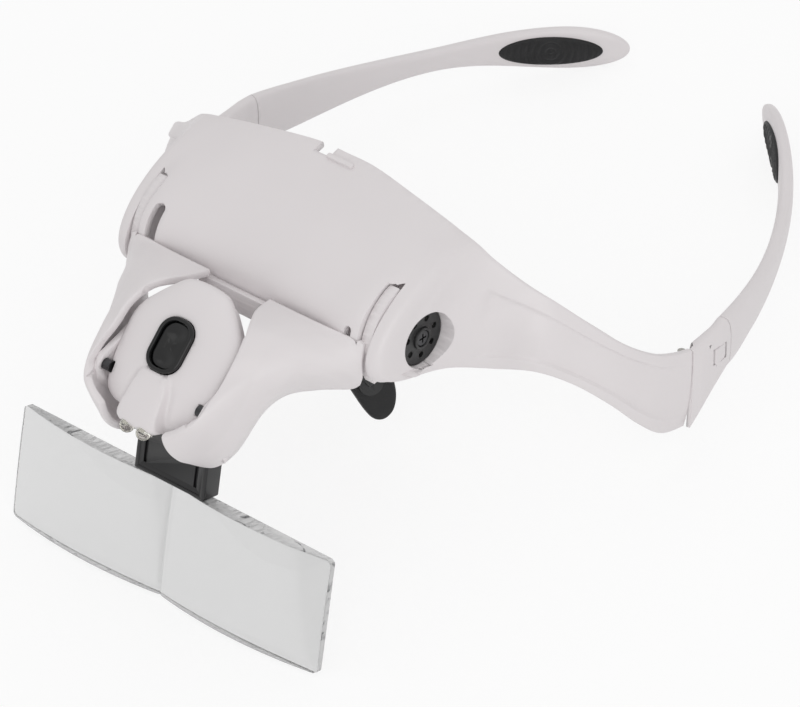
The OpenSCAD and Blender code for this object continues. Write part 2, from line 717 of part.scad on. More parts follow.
module battery_cover_screw() {
  stance() color(STEEL) lamp_place() translate([0, post_y, 0]) {
    difference() {
      translate([0, 0, cover_head_n - 0.9]) cylinder(r = case_screw_head_r, h = 0.9);
      cross_recess(cover_head_n - 0.9, 2, 0.5);
    }
    translate([0, 0, cover_head_n]) cylinder(r = case_screw_r, h = 4.6);
  }
}

module coin_cells() {
  stance() color(STEEL) lamp_place() for (i = [0, 1])
    translate([0, cell_drop, cell_low + i * (cell_t + 0.02)]) cylinder(d = cell_d, h = cell_t);
}

module cell_contacts() {
  stance() color("#c8a860") lamp_place() {
    translate([-4, cell_drop - 4, cell_low - 0.35]) cube([8, 8, 0.3]);
    translate([-3, cell_drop - 6, cell_low + 2 * cell_t + 0.06]) cube([6, 12, 0.3]);
  }
}

module lamp_board() {
  stance() color("#2f6b46") lamp_place() translate([-8, cell_drop - 9, cell_low + 2 * cell_t + 0.42])
    cube([16, 15, 0.8]);
}

module switch_body() {
  stance() color(BLACK) switch_place() translate([-2.4, -4, -5.4]) cube([4.8, 8, 1.9]);
}

bezel_wall = 0.9;

module switch_bezel() {
  stance() color(BLACK) switch_place() difference() {
    translate([0, 0, -3.3]) linear_extrude(3.7) capsule(switch_w - 2 * side_gap, switch_l - 2 * side_gap);
    translate([0, 0, -2.4]) linear_extrude(4) capsule(switch_w - 2 * bezel_wall, switch_l - 2 * bezel_wall);
    translate([-1.5, -3, -4]) cube([3, 6, 4]);
  }
}

rocker_gap = 0.3;

module switch_rocker() {
  stance() color(BLACK) switch_place() {
    difference() {
      translate([0, 0, -1.4]) linear_extrude(1.6)
        capsule(switch_w - 2 * bezel_wall - 2 * rocker_gap, switch_l - 2 * bezel_wall - 2 * rocker_gap);
      for (s = [-1, 1]) translate([0, s * 4.6, 4.6]) sphere(r = 5);
    }
    translate([-1.1, -1.1, -3.2]) cube([2.2, 2.2, 2]);
  }
}

module bulbs() {
  stance() color([0.9, 0.92, 0.9, 0.6]) for (s = [-1, 1]) bulb_place() translate([s * bulb_gap / 2, 0, -2]) {
    cylinder(d = bulb_d, h = 5);
    translate([0, 0, 5]) intersection() {
      sphere(d = bulb_d);
      translate([-5, -5, -0.01]) cube([10, 10, 6]);
    }
  }
}

module bulb_collars() {
  stance() color(STEEL) for (s = [-1, 1]) bulb_place() translate([s * bulb_gap / 2, 0, 1.3]) difference() {
    cylinder(r = bulb_d / 2 + 0.5, h = 1.3);
    translate([0, 0, -1]) cylinder(r = bulb_d / 2 + 0.05, h = 4);
  }
}

// Temples: a socket on a hinge, the arm that plugs into it, its latch and its grip pad
seam_y = 75.6;
seam_x = 81.4;
seam_heading = 10.5;
arm_z_root = -21.6;
arm_z_tip = -16.2;
arm_stations = 30;
ring_sides = 12;
socket_gap = 0.25;
plug_l = 9;
plug_t = 2.2;
plug_h = 8;
latch_l = 5;
latch_h = 4.6;

function smooth(t) = t * t * (3 - 2 * t);
// Height of the arm at a share u of its length
function arm_height(u) = u < 0.5
  ? arm_h_root + (arm_h_mid - arm_h_root) * smooth(u / 0.5)
  : u < 0.84 ? arm_h_mid + (arm_h_tip - arm_h_mid) * smooth((u - 0.5) / 0.34)
  : arm_h_tip * sqrt(max(0.03, 1 - pow((u - 0.84) / 0.17, 2)));
function arm_level(u) = arm_z_root + (arm_z_tip - arm_z_root) * smooth(min(1, u / 0.7));
function arm_angle(u) = seam_heading + arm_sweep * u;
// A place on the arm: share of its length, distance outwards from its middle line, height
function arm_point(u, out, z) = let (a = arm_angle(u), r = arm_bend_r + out)
  [seam_x - arm_bend_r * cos(seam_heading) + r * cos(a), seam_y - arm_bend_r * sin(seam_heading) + r * sin(a), z];
function oval_ring(w, h, power) = [for (i = [0 : ring_sides - 1]) let (a = 360 * i / ring_sides + 15)
  [w / 2 * sign(cos(a)) * pow(abs(cos(a)), power), h / 2 * sign(sin(a)) * pow(abs(sin(a)), power)]];
function arm_thick(u) = u < 0.1 ? 5.2 + (arm_t - 5.2) * smooth(u / 0.1) : arm_t;

module arm_solid() {
  rings = [for (i = [0:arm_stations]) let (u = i / arm_stations)
    [for (p = oval_ring(arm_thick(u), arm_height(u), 0.6)) arm_point(u, p[0], arm_level(u) + p[1])]];
  skin(rings);
}

module plug_place() {
  translate([seam_x, seam_y, arm_z_root]) rotate([0, 0, seam_heading]) children();
}

module temple_arm() {
  color(WHITE) difference() {
    union() {
      arm_solid();
      plug_place() translate([-plug_t / 2, -plug_l, -plug_h / 2]) cube([plug_t, plug_l + 1, plug_h]);
    }
    plug_place() translate([0.1, -plug_l + 1, -latch_h / 2 - side_gap])
      cube([4, latch_l + 2 * side_gap, latch_h + 2 * side_gap]);
  }
}

module temple_arm_left() {
  stance() temple_arm();
}

module temple_arm_right() {
  stance() mirror([1, 0, 0]) temple_arm();
}

// Rings of the socket from the hinge to the seam: place, thickness, height, middle height, turn
SOCKET = [[[82.4, 60.8], 2.6, 24.6, -28.4, 0], [[82.2, 64], 4.6, 23.4, -27.6, 2], [[82.2, 68], 5.2, 20, -25.4, 4],
  [[82.05, 72], 5.2, 16.4, -22.9, 7], [[seam_x + 0.04, seam_y - 0.25], 5.2, 15, arm_z_root, seam_heading]];

module temple_socket() {
  color(WHITE) difference() {
    union() {
      skin([for (s = SOCKET) [for (p = oval_ring(s[1], s[2], 0.5)) [s[0][0] + p[0] * cos(s[4]), s[0][1] + p[0] * sin(s[4]), s[3] + p[1]]]]);
      translate([0, 0, knuckle_low]) {
        translate([hinge_x, hinge_y, 0]) cylinder(r = knuckle_r, h = knuckle_top - knuckle_low);
        translate([hinge_x, hinge_y, 0]) cube([3, 4.5, knuckle_top - knuckle_low]);
      }
    }
    for (span = [[hinge_low - 20, knuckle_low - side_gap / 2], [knuckle_top + side_gap / 2, hinge_top + 20]])
      translate([hinge_x, hinge_y, span[0]]) cylinder(r = knuckle_r + 0.3, h = span[1] - span[0]);
    translate([hinge_x, hinge_y, hinge_low - 1]) cylinder(r = hinge_pin_r + run_gap, h = hinge_top - hinge_low + 2);
    plug_place() translate([-plug_t / 2 - socket_gap, -plug_l - 0.4, -plug_h / 2 - socket_gap])
      cube([plug_t + 2 * socket_gap, plug_l + 2, plug_h + 2 * socket_gap]);
    plug_place() translate([0.1, -plug_l + 1 - side_gap / 2, -latch_h / 2 - side_gap / 2])
      cube([6, latch_l + 3 * side_gap, latch_h + 3 * side_gap]);
  }
}

module temple_socket_left() {
  stance() temple_socket();
}

module temple_socket_right() {
  stance() mirror([1, 0, 0]) temple_socket();
}

module temple_latch() {
  color(WHITE) plug_place() translate([1, -plug_l + 1 + side_gap, -latch_h / 2])
    cube([1.5, latch_l, latch_h]);
}

module temple_latch_left() {
  stance() temple_latch();
}

module temple_latch_right() {
  stance() mirror([1, 0, 0]) temple_latch();
}

pad_from = 0.68;
pad_to = 0.93;
pad_steps = 14;

module temple_pad() {
  rings = [for (i = [0:pad_steps]) let (t = i / pad_steps, u = pad_from + (pad_to - pad_from) * t,
    grow = sqrt(max(0.04, 1 - pow(2 * t - 1, 2))))
    [for (p = oval_ring(pad_t, 8.8 * grow, 0.8))
      arm_point(u, -arm_t / 2 - pad_t / 2 - 0.02 + p[0], arm_level(u) + p[1])]];
  color(BLACK) skin(rings);
}

module temple_pad_left() {
  stance() temple_pad();
}

module temple_pad_right() {
  stance() mirror([1, 0, 0]) temple_pad();
}

module hinge_pins() {
  stance() color(STEEL) both_sides()
    translate([hinge_x, hinge_y, hinge_low]) cylinder(r = hinge_pin_r, h = hinge_top - hinge_low);
}

brow_shell();
brow_liner();
brow_screws();
nose_bridge();
nose_pad_left();
nose_pad_right();
nose_pad_screws();
hub_washers();
hinge_pins();
visor_yoke();
hub_cap_left();
hub_cap_right();
hub_screws();
lamp_pivot_pins();
lens_clip();
lens();
lamp_housing();
battery_cover();
battery_cover_screw();
coin_cells();
cell_contacts();
lamp_board();
switch_body();
switch_bezel();
switch_rocker();
bulbs();
bulb_collars();
temple_socket_left();
temple_socket_right();
temple_arm_left();
temple_arm_right();
temple_pad_left();
temple_pad_right();
temple_latch_left();
temple_latch_right();
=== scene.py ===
# Lighted head magnifier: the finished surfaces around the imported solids. Shapes are worked out in
# the head frame of the solids, in millimetres: X to the wearer's left, Y to the back of the head,
# Z up, zero at the middle of the hub axle. stand() sets them down as the piece stands on a table.
import math

import bmesh
import bpy
import numpy as np
from mathutils import Matrix, Vector


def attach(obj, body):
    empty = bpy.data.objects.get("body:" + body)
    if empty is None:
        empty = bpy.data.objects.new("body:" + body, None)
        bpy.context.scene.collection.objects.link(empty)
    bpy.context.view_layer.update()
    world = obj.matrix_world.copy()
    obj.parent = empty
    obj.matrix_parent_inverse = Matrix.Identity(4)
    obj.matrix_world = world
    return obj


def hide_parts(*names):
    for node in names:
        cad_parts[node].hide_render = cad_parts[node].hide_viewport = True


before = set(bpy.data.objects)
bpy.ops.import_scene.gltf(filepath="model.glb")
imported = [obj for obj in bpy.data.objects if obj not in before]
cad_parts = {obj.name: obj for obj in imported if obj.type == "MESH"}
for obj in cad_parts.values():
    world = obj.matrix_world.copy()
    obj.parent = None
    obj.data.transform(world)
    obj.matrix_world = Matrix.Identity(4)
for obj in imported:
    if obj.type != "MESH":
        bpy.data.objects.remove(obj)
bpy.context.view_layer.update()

# Sizes shared with the solids
MM = 0.001
LEAN = math.radians(14.07)
HUB_UP = 60.17
HUB_AHEAD = 44.2
SLOT_IN, SLOT_OUT = 37.4, 41.1
DISC_IN, DISC_OUT, DISC_R = 37.75, 40.75, 16.6
POCKET_X, POCKET_R = 42.2, 7.9
CAP_X = 42.7
LAMP_PIVOT = (-51.5, -9.5)
LENS_TILT = math.radians(9.5)
LENS_PLACE = (0, -42.6, -42)
CLIP_W, CLIP_D, CLIP_H, CLIP_FRONT = 24, 6.2, 14, -4.5
HINGE = (79.6, 61)


# Frames
def spin(points, axis, angle):
    """Turn points about a main axis through zero: the usual 2 by 2 rotation in the other two axes."""
    p = np.array(points, float)
    i, j = {"x": (1, 2), "y": (2, 0), "z": (0, 1)}[axis]
    c, s = math.cos(angle), math.sin(angle)
    out = p.copy()
    out[..., i] = p[..., i] * c - p[..., j] * s
    out[..., j] = p[..., i] * s + p[..., j] * c
    return out


def stand(points):
    """Head frame to the standing frame in metres: lean about X by LEAN, then move the hubs up and ahead."""
    return (spin(points, "x", -LEAN) + np.array([0, -HUB_AHEAD, HUB_UP])) * MM


def lens_frame(points):
    """The lens's own frame to the head frame: tilt its lower edge forward, then move it under the yoke."""
    return spin(points, "x", -LENS_TILT) + np.array(LENS_PLACE)


def face_frame(points):
    """The lamp's frame to the head frame: its Y runs up the lamp's face and its Z is the face's normal."""
    return spin(points, "x", math.radians(46)) + np.array([0, -45.8, 0.7])


def bulb_frame(points):
    """A bulb's frame to the head frame: its Z points along the beam."""
    return spin(points, "x", math.radians(122)) + np.array([0, -56.4, -16.4])


def nose_frame(points):
    """The left nose pad's frame to the head frame: its X is the pad's normal."""
    p = spin(points, "y", math.radians(-12))
    p = spin(p, "z", math.radians(-24))
    return spin(p, "x", math.radians(14)) + np.array([11.6, 16.8, -35.6])


def mirrored(points):
    """The same points on the wearer's other side: X changes sign."""
    return np.array(points, float) * np.array([-1, 1, 1])


# Meshes
def unit(vectors):
    """Vectors along the last axis, scaled to length 1."""
    return vectors / np.maximum(np.linalg.norm(vectors, axis=-1, keepdims=True), 1e-9)


def grid_faces(n, m, close_rows=False, close_cols=False, base=0):
    """Quads of an n by m grid of points, row by row, with either direction joined back to its start."""
    i, j = np.meshgrid(np.arange(n if close_rows else n - 1), np.arange(m if close_cols else m - 1), indexing="ij")
    i2, j2 = (i + 1) % n, (j + 1) % m
    quads = np.stack([i * m + j, i2 * m + j, i2 * m + j2, i * m + j2], -1).reshape(-1, 4)
    return [tuple(q) for q in (quads + base).tolist()]


def grid_border(n, m):
    """The numbers of the points round the edge of an n by m grid, in order."""
    first, last = [i * m for i in range(n)], [(n - 1) * m + j for j in range(1, m)]
    return first + last + [i * m + m - 1 for i in range(n - 2, -1, -1)] + list(range(m - 2, 0, -1))


def new_mesh(name, points, faces):
    """A mesh from points already in the standing frame, with its normals turned outwards."""
    mesh = bpy.data.meshes.new(name)
    mesh.from_pydata([tuple(p) for p in np.asarray(points).reshape(-1, 3).tolist()], [], faces)
    work = bmesh.new()
    work.from_mesh(mesh)
    bmesh.ops.remove_doubles(work, verts=work.verts, dist=2e-6)
    bmesh.ops.dissolve_degenerate(work, edges=work.edges, dist=1e-7)
    bmesh.ops.recalc_face_normals(work, faces=work.faces)
    work.to_mesh(mesh)
    work.free()
    return mesh


def new_object(name, data):
    """An object at the origin that holds a mesh, a lamp or a camera."""
    made = bpy.data.objects.new(name, data)
    bpy.context.scene.collection.objects.link(made)
    return made


def piece(name, points, faces):
    """An object from points already in the standing frame."""
    return new_object(name, new_mesh(name, points, faces))


def loft(rings, tube=False):
    """Points and faces of a solid through closed rings of equal length, with flat ends, or as a tube
    whose last ring runs on into its first."""
    rings = np.asarray(rings, float)
    n, m = rings.shape[:2]
    faces = grid_faces(n, m, close_rows=tube, close_cols=True)
    if not tube:
        faces += [tuple(range(m))[::-1], tuple(range((n - 1) * m, n * m))]
    return rings.reshape(-1, 3), faces


def joined(*parts):
    """Several point and face lists as one."""
    points, faces, base = [], [], 0
    for p, f in parts:
        p = np.asarray(p, float).reshape(-1, 3)
        points.append(p)
        faces += [tuple(i + base for i in q) for q in f]
        base += len(p)
    return np.vstack(points), faces


def placed(part, *moves):
    """A point and face list taken through frame functions, one after the other."""
    points, faces = part
    for move in moves:
        points = move(points)
    return points, faces


def by(x=0, y=0, z=0):
    """A frame function that moves points by an offset."""
    return lambda points: points + np.array([x, y, z])


def about(axis, degrees):
    """A frame function that turns points about a main axis through zero."""
    return lambda points: spin(points, axis, math.radians(degrees))


def on_side(part, side):
    """A part as it is for the left side, or its twin on the right with the faces turned round."""
    points, faces = part
    return part if side > 0 else (mirrored(points), [f[::-1] for f in faces])


def with_mirror(part):
    """A part and its twin on the other side."""
    return joined(part, on_side(part, -1))


def built(name, part, *moves):
    """An object from a part of the head frame, after it has gone through frame functions."""
    return piece(name, *placed(part, *moves, stand))


def lathe(profile, sides=48, axis="z", tube=False):
    """A profile of (radius, height) pairs turned about an axis: x = r cos a, y = r sin a, z = h."""
    profile = np.asarray(profile, float)
    a = np.linspace(0, 2 * math.pi, sides, endpoint=False)
    r, h = profile[:, :1], profile[:, 1:]
    ring = np.stack([r * np.cos(a), r * np.sin(a), h + 0 * a], -1)
    if axis == "x":
        ring = ring[..., [2, 0, 1]]
    return loft(ring, tube)


def rounded_outline(w, h, r, steps=8):
    """A rectangle w by h with corner radius r, as points in order round its middle."""
    a = np.linspace(0, math.pi / 2, steps + 1)
    out = []
    for k, (sx, sy) in enumerate([(1, 1), (-1, 1), (-1, -1), (1, -1)]):
        turn = a + k * math.pi / 2
        out.append(np.stack([sx * (w / 2 - r) + r * np.cos(turn), sy * (h / 2 - r) + r * np.sin(turn)], -1))
    return np.vstack(out)


def inset(outline, distance):
    """A closed outline moved inwards along its normals by a distance."""
    p = np.asarray(outline, float)
    t = unit(np.roll(p, -1, 0) - np.roll(p, 1, 0))
    return p + distance * np.stack([-t[:, 1], t[:, 0]], -1)


def slab(outline, low, high, edge=0.3, steps=4):
    """A flat outline from one height to another with both rims rounded by a quarter circle."""
    turn = np.linspace(0, math.pi / 2, steps + 1)
    levels = [(edge * (1 - math.sin(a)), low + edge * (1 - math.cos(a))) for a in turn]
    levels += [(edge * (1 - math.cos(a)), high - edge * (1 - math.sin(a))) for a in turn]
    rings = []
    for d, z in levels:
        ring = inset(outline, d)
        rings.append(np.column_stack([ring, np.full(len(ring), z)]))
    return loft(rings)


def smooth(t):
    """0 below 0 and 1 above 1, with a soft step between them."""
    t = np.clip(t, 0, 1)
    return t * t * (3 - 2 * t)


def bump(x, low, high, soft):
    """1 between two values and 0 outside, with soft shoulders."""
    return smooth((x - low) / soft + 0.5) * smooth((high - x) / soft + 0.5)


def curve_through(controls, steps):
    """Catmull-Rom spline along the first axis of an array of control points."""
    c = np.asarray(controls, float)
    n = len(c) - 1
    t = np.arange(steps) / steps
    rows = []
    for i in range(n):
        a, b, d, e = c[max(i - 1, 0)], c[i], c[i + 1], c[min(i + 2, n)]
        s = t.reshape((-1,) + (1,) * a.ndim)
        square, cube = 2 * a - 5 * b + 4 * d - e, 3 * b - a - 3 * d + e
        rows.append(0.5 * (2 * b + (d - a) * s + square * s ** 2 + cube * s ** 3))
    return np.concatenate(rows + [c[-1:]])


def bezier_rows(controls, count):
    """Cubic Bezier through each row's four control points: the Bernstein sum at even shares."""
    t = np.linspace(0, 1, count)[None, :, None]
    c = controls[:, :, None, :]
    return (1 - t) ** 3 * c[:, 0] + 3 * (1 - t) ** 2 * t * c[:, 1] + 3 * (1 - t) * t ** 2 * c[:, 2] + t ** 3 * c[:, 3]


def grid_normals(g):
    """Unit normals of a grid of points: the cross product of its two central differences."""
    return unit(np.cross(np.gradient(g, axis=0), np.gradient(g, axis=1)))


def facing(g, inside):
    """A grid in the order that shell() needs, and its normals, which point away from a place inside."""
    if (grid_normals(g) * (g - np.array(inside, float))).sum(-1).mean() < 0:
        g = g[::-1]
    return g, grid_normals(g)


def shell(g, wall, lip=0.5):
    """A sheet of even thickness behind a grid, its rim rounded: rows of the rim follow a half circle
    from the outer face to the inner one."""
    rows, cols = g.shape[:2]
    points = np.concatenate([g, g - wall * grid_normals(g)]).reshape(-1, 3)
    k = rows * cols
    faces = grid_faces(rows, cols) + [f[::-1] for f in grid_faces(rows, cols, base=k)]
    ring = np.array(grid_border(rows, cols))
    outer_rim, inner_rim = points[ring], points[ring + k]
    i, j = np.divmod(ring, cols)
    near_j = np.clip(j, 1, cols - 2)
    near_i = np.where(near_j == j, np.clip(i, 1, rows - 2), i)
    away = unit(outer_rim - points[near_i * cols + near_j])
    middle, half = (outer_rim + inner_rim) / 2, (outer_rim - inner_rim) / 2
    turns = math.pi * np.arange(1, 5) / 5
    rim = [middle + half * math.cos(a) + away * lip * math.sin(a) for a in turns]
    count = len(ring)
    strips = [ring] + [2 * k + s * count + np.arange(count) for s in range(len(turns))] + [ring + k]
    for a, b in zip(strips[:-1], strips[1:]):
        faces += np.stack([a, np.roll(a, -1), np.roll(b, -1), b], -1).tolist()
    return np.concatenate([points] + rim), faces


def baked(obj):
    """The object's mesh with its modifiers applied."""
    graph = bpy.context.evaluated_depsgraph_get()
    graph.update()
    mesh = bpy.data.meshes.new_from_object(obj.evaluated_get(graph))
    old = obj.data
    obj.modifiers.clear()
    obj.data = mesh
    bpy.data.meshes.remove(old)
    return obj


def cut_by(obj, tool, operation):
    """Boolean of the object with another one, applied to its mesh. The other one is used up."""
    cut = obj.modifiers.new("cut", "BOOLEAN")
    cut.object = tool
    cut.operation = operation
    cut.solver = "MANIFOLD"
    baked(obj)
    bpy.data.objects.remove(tool)
    return obj


def combine(obj, part, operation="DIFFERENCE"):
    """Boolean of the object with a point and face list: a cut, unless the call says otherwise."""
    return cut_by(obj, piece("tool", stand(part[0]), part[1]), operation)


def soft_edges(obj, angle=35, width=0.25, segments=2):
    """Round the edges steeper than an angle by a small radius in millimetres and shade the rest smooth."""
    for face in obj.data.polygons:
        face.use_smooth = True
    if width:
        edge = obj.modifiers.new("edges", "BEVEL")
        edge.width = width * MM
        edge.segments = segments
        edge.limit_method = "ANGLE"
        edge.angle_limit = math.radians(angle)
        edge.harden_normals = True
        edge.miter_outer = "MITER_ARC"
        baked(obj)
    for face in obj.data.polygons:
        face.use_smooth = True
    obj.data.set_sharp_from_angle(angle=math.radians(50))
    return obj


def box_part(x, y, z):
    """A plain box between pairs of values, as a cutter or a core."""
    p = [(a, b, c) for a in x for b in y for c in z]
    f = [(0, 1, 3, 2), (4, 6, 7, 5), (0, 4, 5, 1), (2, 3, 7, 6), (0, 2, 6, 4), (1, 5, 7, 3)]
    return np.array(p, float), f


def prism_x(outline, x0, x1):
    """An outline of (Y, Z) points drawn along X."""
    o = np.asarray(outline, float)
    return loft([np.column_stack([np.full(len(o), x), o]) for x in (x0, x1)])


def bar_x(x0, x1, r, y=0, z=0, sides=64):
    """A round bar along X."""
    a = np.linspace(0, 2 * math.pi, sides, endpoint=False)
    return prism_x(np.stack([y + r * np.cos(a), z + r * np.sin(a)], -1), x0, x1)


# Materials
def linear(code):
    """An sRGB hex colour as linear values with full alpha."""
    s = [int(code[i : i + 2], 16) / 255 for i in (1, 3, 5)]
    return tuple(c / 12.92 if c <= 0.04045 else ((c + 0.055) / 1.055) ** 2.4 for c in s) + (1,)


def add(tree, kind, inputs=None, **settings):
    """Add a node with its settings; an input is a value, or another node's socket to link."""
    made = tree.nodes.new(kind)
    for name, value in settings.items():
        setattr(made, name, value)
    for name, value in (inputs or {}).items():
        if isinstance(value, bpy.types.NodeSocket):
            tree.links.new(value, made.inputs[name])
        else:
            made.inputs[name].default_value = value
    return made


def surface(name, **shader):
    """A new material with a Principled shader, whose sockets take the given values."""
    made = bpy.data.materials.new(name)
    made.use_nodes = True
    tree = made.node_tree
    tree.nodes.clear()
    out = add(tree, "ShaderNodeOutputMaterial")
    main = add(tree, "ShaderNodeBsdfPrincipled", {k.replace("_", " "): v for k, v in shader.items()})
    tree.links.new(main.outputs[0], out.inputs[0])
    made.diffuse_color = main.inputs["Base Color"].default_value
    return made, tree, main


def grained(name, base, light, dark, cloud_mm, grain_mm, depth_mm, rough_low, rough_high, **shader):
    """Two close tones in broad clouds, and a fine grain that shows in the gloss and the relief."""
    made, tree, main = surface(name, Base_Color=linear(base), **shader)
    place = add(tree, "ShaderNodeTexCoord").outputs["Object"]
    cloud = add(tree, "ShaderNodeTexNoise", {"Vector": place, "Scale": 1000 / cloud_mm, "Detail": 3})
    tone = add(tree, "ShaderNodeMix", {0: cloud.outputs[0], 6: linear(light), 7: linear(dark)}, data_type="RGBA")
    tree.links.new(tone.outputs[2], main.inputs["Base Color"])
    fine = add(tree, "ShaderNodeTexNoise", {"Vector": place, "Scale": 1000 / grain_mm, "Detail": 2, "Roughness": 0.6})
    gloss = add(tree, "ShaderNodeMapRange", {0: fine.outputs[0], 1: 0.3, 2: 0.7, 3: rough_low, 4: rough_high})
    tree.links.new(gloss.outputs[0], main.inputs["Roughness"])
    relief = add(tree, "ShaderNodeBump", {"Height": fine.outputs[0], "Strength": 0.5, "Distance": depth_mm * MM})
    tree.links.new(relief.outputs[0], main.inputs["Normal"])
    return made


def clear(name, base, size_mm, strength, depth_mm, **shader):
    """A clear material whose faces keep the slow waves of moulding or casting."""
    made, tree, main = surface(name, Base_Color=linear(base), Transmission_Weight=1, **shader)
    place = add(tree, "ShaderNodeTexCoord").outputs["Object"]
    swell = add(tree, "ShaderNodeTexNoise", {"Vector": place, "Scale": 1000 / size_mm, "Detail": 1})
    relief = add(tree, "ShaderNodeBump", {"Height": swell.outputs[0], "Strength": strength, "Distance": depth_mm * MM})
    tree.links.new(relief.outputs[0], main.inputs["Normal"])
    return made


def painted_glint_rim(name, base, size_mm, dark, light, **shader):
    """A clear material seen on narrow faces, half diffuse: a painted highlight, almost white, with painted dark
    streaks for the dark slivers of refraction.
    """
    made, tree, main = surface(name, Base_Color=linear(base), Transmission_Weight=0.45, **shader)
    place = add(tree, "ShaderNodeTexCoord").outputs["Object"]
    values = {"Vector": place, "Scale": 1000 / size_mm, "Detail": 3, "Distortion": 1.5}
    streaks = add(tree, "ShaderNodeTexNoise", values)
    # Painted light: the noise mixes a painted highlight with painted dark streaks of refraction
    tone = add(tree, "ShaderNodeMapRange", {0: streaks.outputs[0], 1: 0.33, 2: 0.45})
    mix = add(tree, "ShaderNodeMix", {0: tone.outputs[0], 6: linear(dark), 7: linear(light)}, data_type="RGBA")
    tree.links.new(mix.outputs[2], main.inputs["Base Color"])
    return made


# After name and base colour: light and dark tone, clouds, grain and its depth in mm, and the roughness
LOOKS = {
    # Moulded white ABS with a fine spark-eroded texture: satin, faintly warm. Its grain of 0.05 mm is
    # drawn at 0.35 mm so that it can be seen at all
    "white": grained("moulded_white_abs", "#E6E1E2", "#E7E2E3", "#E2DDDE", 24, 0.35, 0.012, 0.34, 0.46, IOR=1.53),
    # Moulded black ABS: satin, with the same fine texture, which shows as a grey bloom
    "black": grained("moulded_black_abs", "#232324", "#1E1E1F", "#161617", 9, 0.3, 0.012, 0.3, 0.44, IOR=1.53),
    # Polished black ABS of the switch: a deep black that mirrors the studio
    "gloss": grained("polished_black_abs", "#111112", "#101011", "#0B0B0C", 6, 0.8, 0.002, 0.17, 0.25, IOR=1.53),
    # Moulded black silicone rubber of the nose pads and grips: matt, grips the light softly
    "rubber": grained("moulded_black_silicone", "#222223", "#252526", "#1C1C1D", 7, 0.4, 0.02, 0.5, 0.66,
                      IOR=1.41, Sheen_Weight=0.15, Sheen_Roughness=0.4),
    # Turned or plated metals: even colour, with fine machining marks in the gloss
    "steel": grained("black_oxide_steel", "#5A5A5C", "#5A5A5C", "#454547", 3, 0.2, 0.004, 0.28, 0.42, Metallic=1),
    "nickel": grained("nickel_plated_steel", "#C9C7C2", "#C9C7C2", "#B4B2AD", 3, 0.2, 0.004, 0.18, 0.32, Metallic=1),
    "brass": grained("plated_spring_brass", "#C8A860", "#C8A860", "#B2934F", 3, 0.2, 0.004, 0.25, 0.4, Metallic=1),
    # Injection-moulded clear acrylic: sharp gloss, and a faint grey in the thickness
    "clear": clear("moulded_clear_acrylic", "#DEDEDE", 16, 0.5, 0.05, IOR=1.49, Roughness=0.03),
    # The lens's narrow faces: the same acrylic, with a painted highlight, almost white, and painted dark streaks for
    # the dark slivers of refraction
    "edge": painted_glint_rim("acrylic_edge_painted_glint", "#F3F3F3", 5, "#8E8F90", "#F4F4F4", IOR=1.49, Roughness=0.22),
    # Cast clear epoxy of the bulbs, with a trace of warmth
    "bulb": clear("cast_clear_epoxy", "#F4F3EC", 2.5, 0.3, 0.02, IOR=1.55, Roughness=0.04),
    # Glass-filled epoxy board under green solder mask: glossy lacquer over a fine weave
    "board": grained("green_solder_mask", "#2F6B46", "#32714A", "#28603E", 5, 0.5, 0.01, 0.25, 0.4,
                     IOR=1.5, Coat_Weight=0.4),
}


def dress(obj, look, body, *nodes):
    """Give a piece its material, its body and the solids that it stands for."""
    obj.data.materials.clear()
    obj.data.materials.append(LOOKS[look])
    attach(obj, body)
    if nodes:
        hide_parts(*nodes)
    return obj


# Stage: floor, world, lamps and camera
def looked_at(tree, *kinds):
    """1 for rays of the given kinds, by which things are seen, and 0 for the light that falls on them."""
    path = add(tree, "ShaderNodeLightPath")
    seen = path.outputs[kinds[0]]
    for kind in kinds[1:]:
        both = {0: seen, 1: path.outputs[kind]}
        seen = add(tree, "ShaderNodeMath", both, operation="ADD", use_clamp=True).outputs[0]
    return seen


def pale_floor():
    """Matt white paper: the camera, gloss and glass see it almost white, and it keeps a soft shadow."""
    made = bpy.data.materials.new("matt_white_paper")
    made.use_nodes = True
    tree = made.node_tree
    tree.nodes.clear()
    seen = looked_at(tree, "Is Camera Ray", "Is Glossy Ray", "Is Transmission Ray")
    share = add(tree, "ShaderNodeMath", {0: seen, 1: 0.8}, operation="MULTIPLY")
    matt = add(tree, "ShaderNodeBsdfDiffuse", {"Color": linear("#F6F6F6")})
    white = add(tree, "ShaderNodeEmission", {"Color": (1, 1, 1, 1), "Strength": 1.02})
    mix = add(tree, "ShaderNodeMixShader", {0: share.outputs[0], 1: matt.outputs[0], 2: white.outputs[0]})
    out = add(tree, "ShaderNodeOutputMaterial")
    tree.links.new(mix.outputs[0], out.inputs[0])
    return made


def studio_world():
    """An even pale surround, stronger where the camera and glass look at it."""
    world = bpy.data.worlds.new("studio")
    bpy.context.scene.world = world
    world.use_nodes = True
    tree = world.node_tree
    tree.nodes.clear()
    seen = looked_at(tree, "Is Camera Ray", "Is Transmission Ray")
    level = add(tree, "ShaderNodeMapRange", {0: seen, 1: 0, 2: 1, 3: 0.68, 4: 1})
    back = add(tree, "ShaderNodeBackground", {"Color": (1, 1, 1, 1), "Strength": level.outputs[0]})
    out = add(tree, "ShaderNodeOutputWorld")
    tree.links.new(back.outputs[0], out.inputs[0])


def area_lamp(name, place, aim, size, power):
    """A square soft box that looks from its place at the aim."""
    lamp = bpy.data.lights.new(name, "AREA")
    lamp.size = size
    lamp.energy = power
    made = new_object(name, lamp)
    made.location = place
    made.rotation_mode = "QUATERNION"
    made.rotation_quaternion = (Vector(aim) - Vector(place)).to_track_quat("-Z", "Y")
    return made


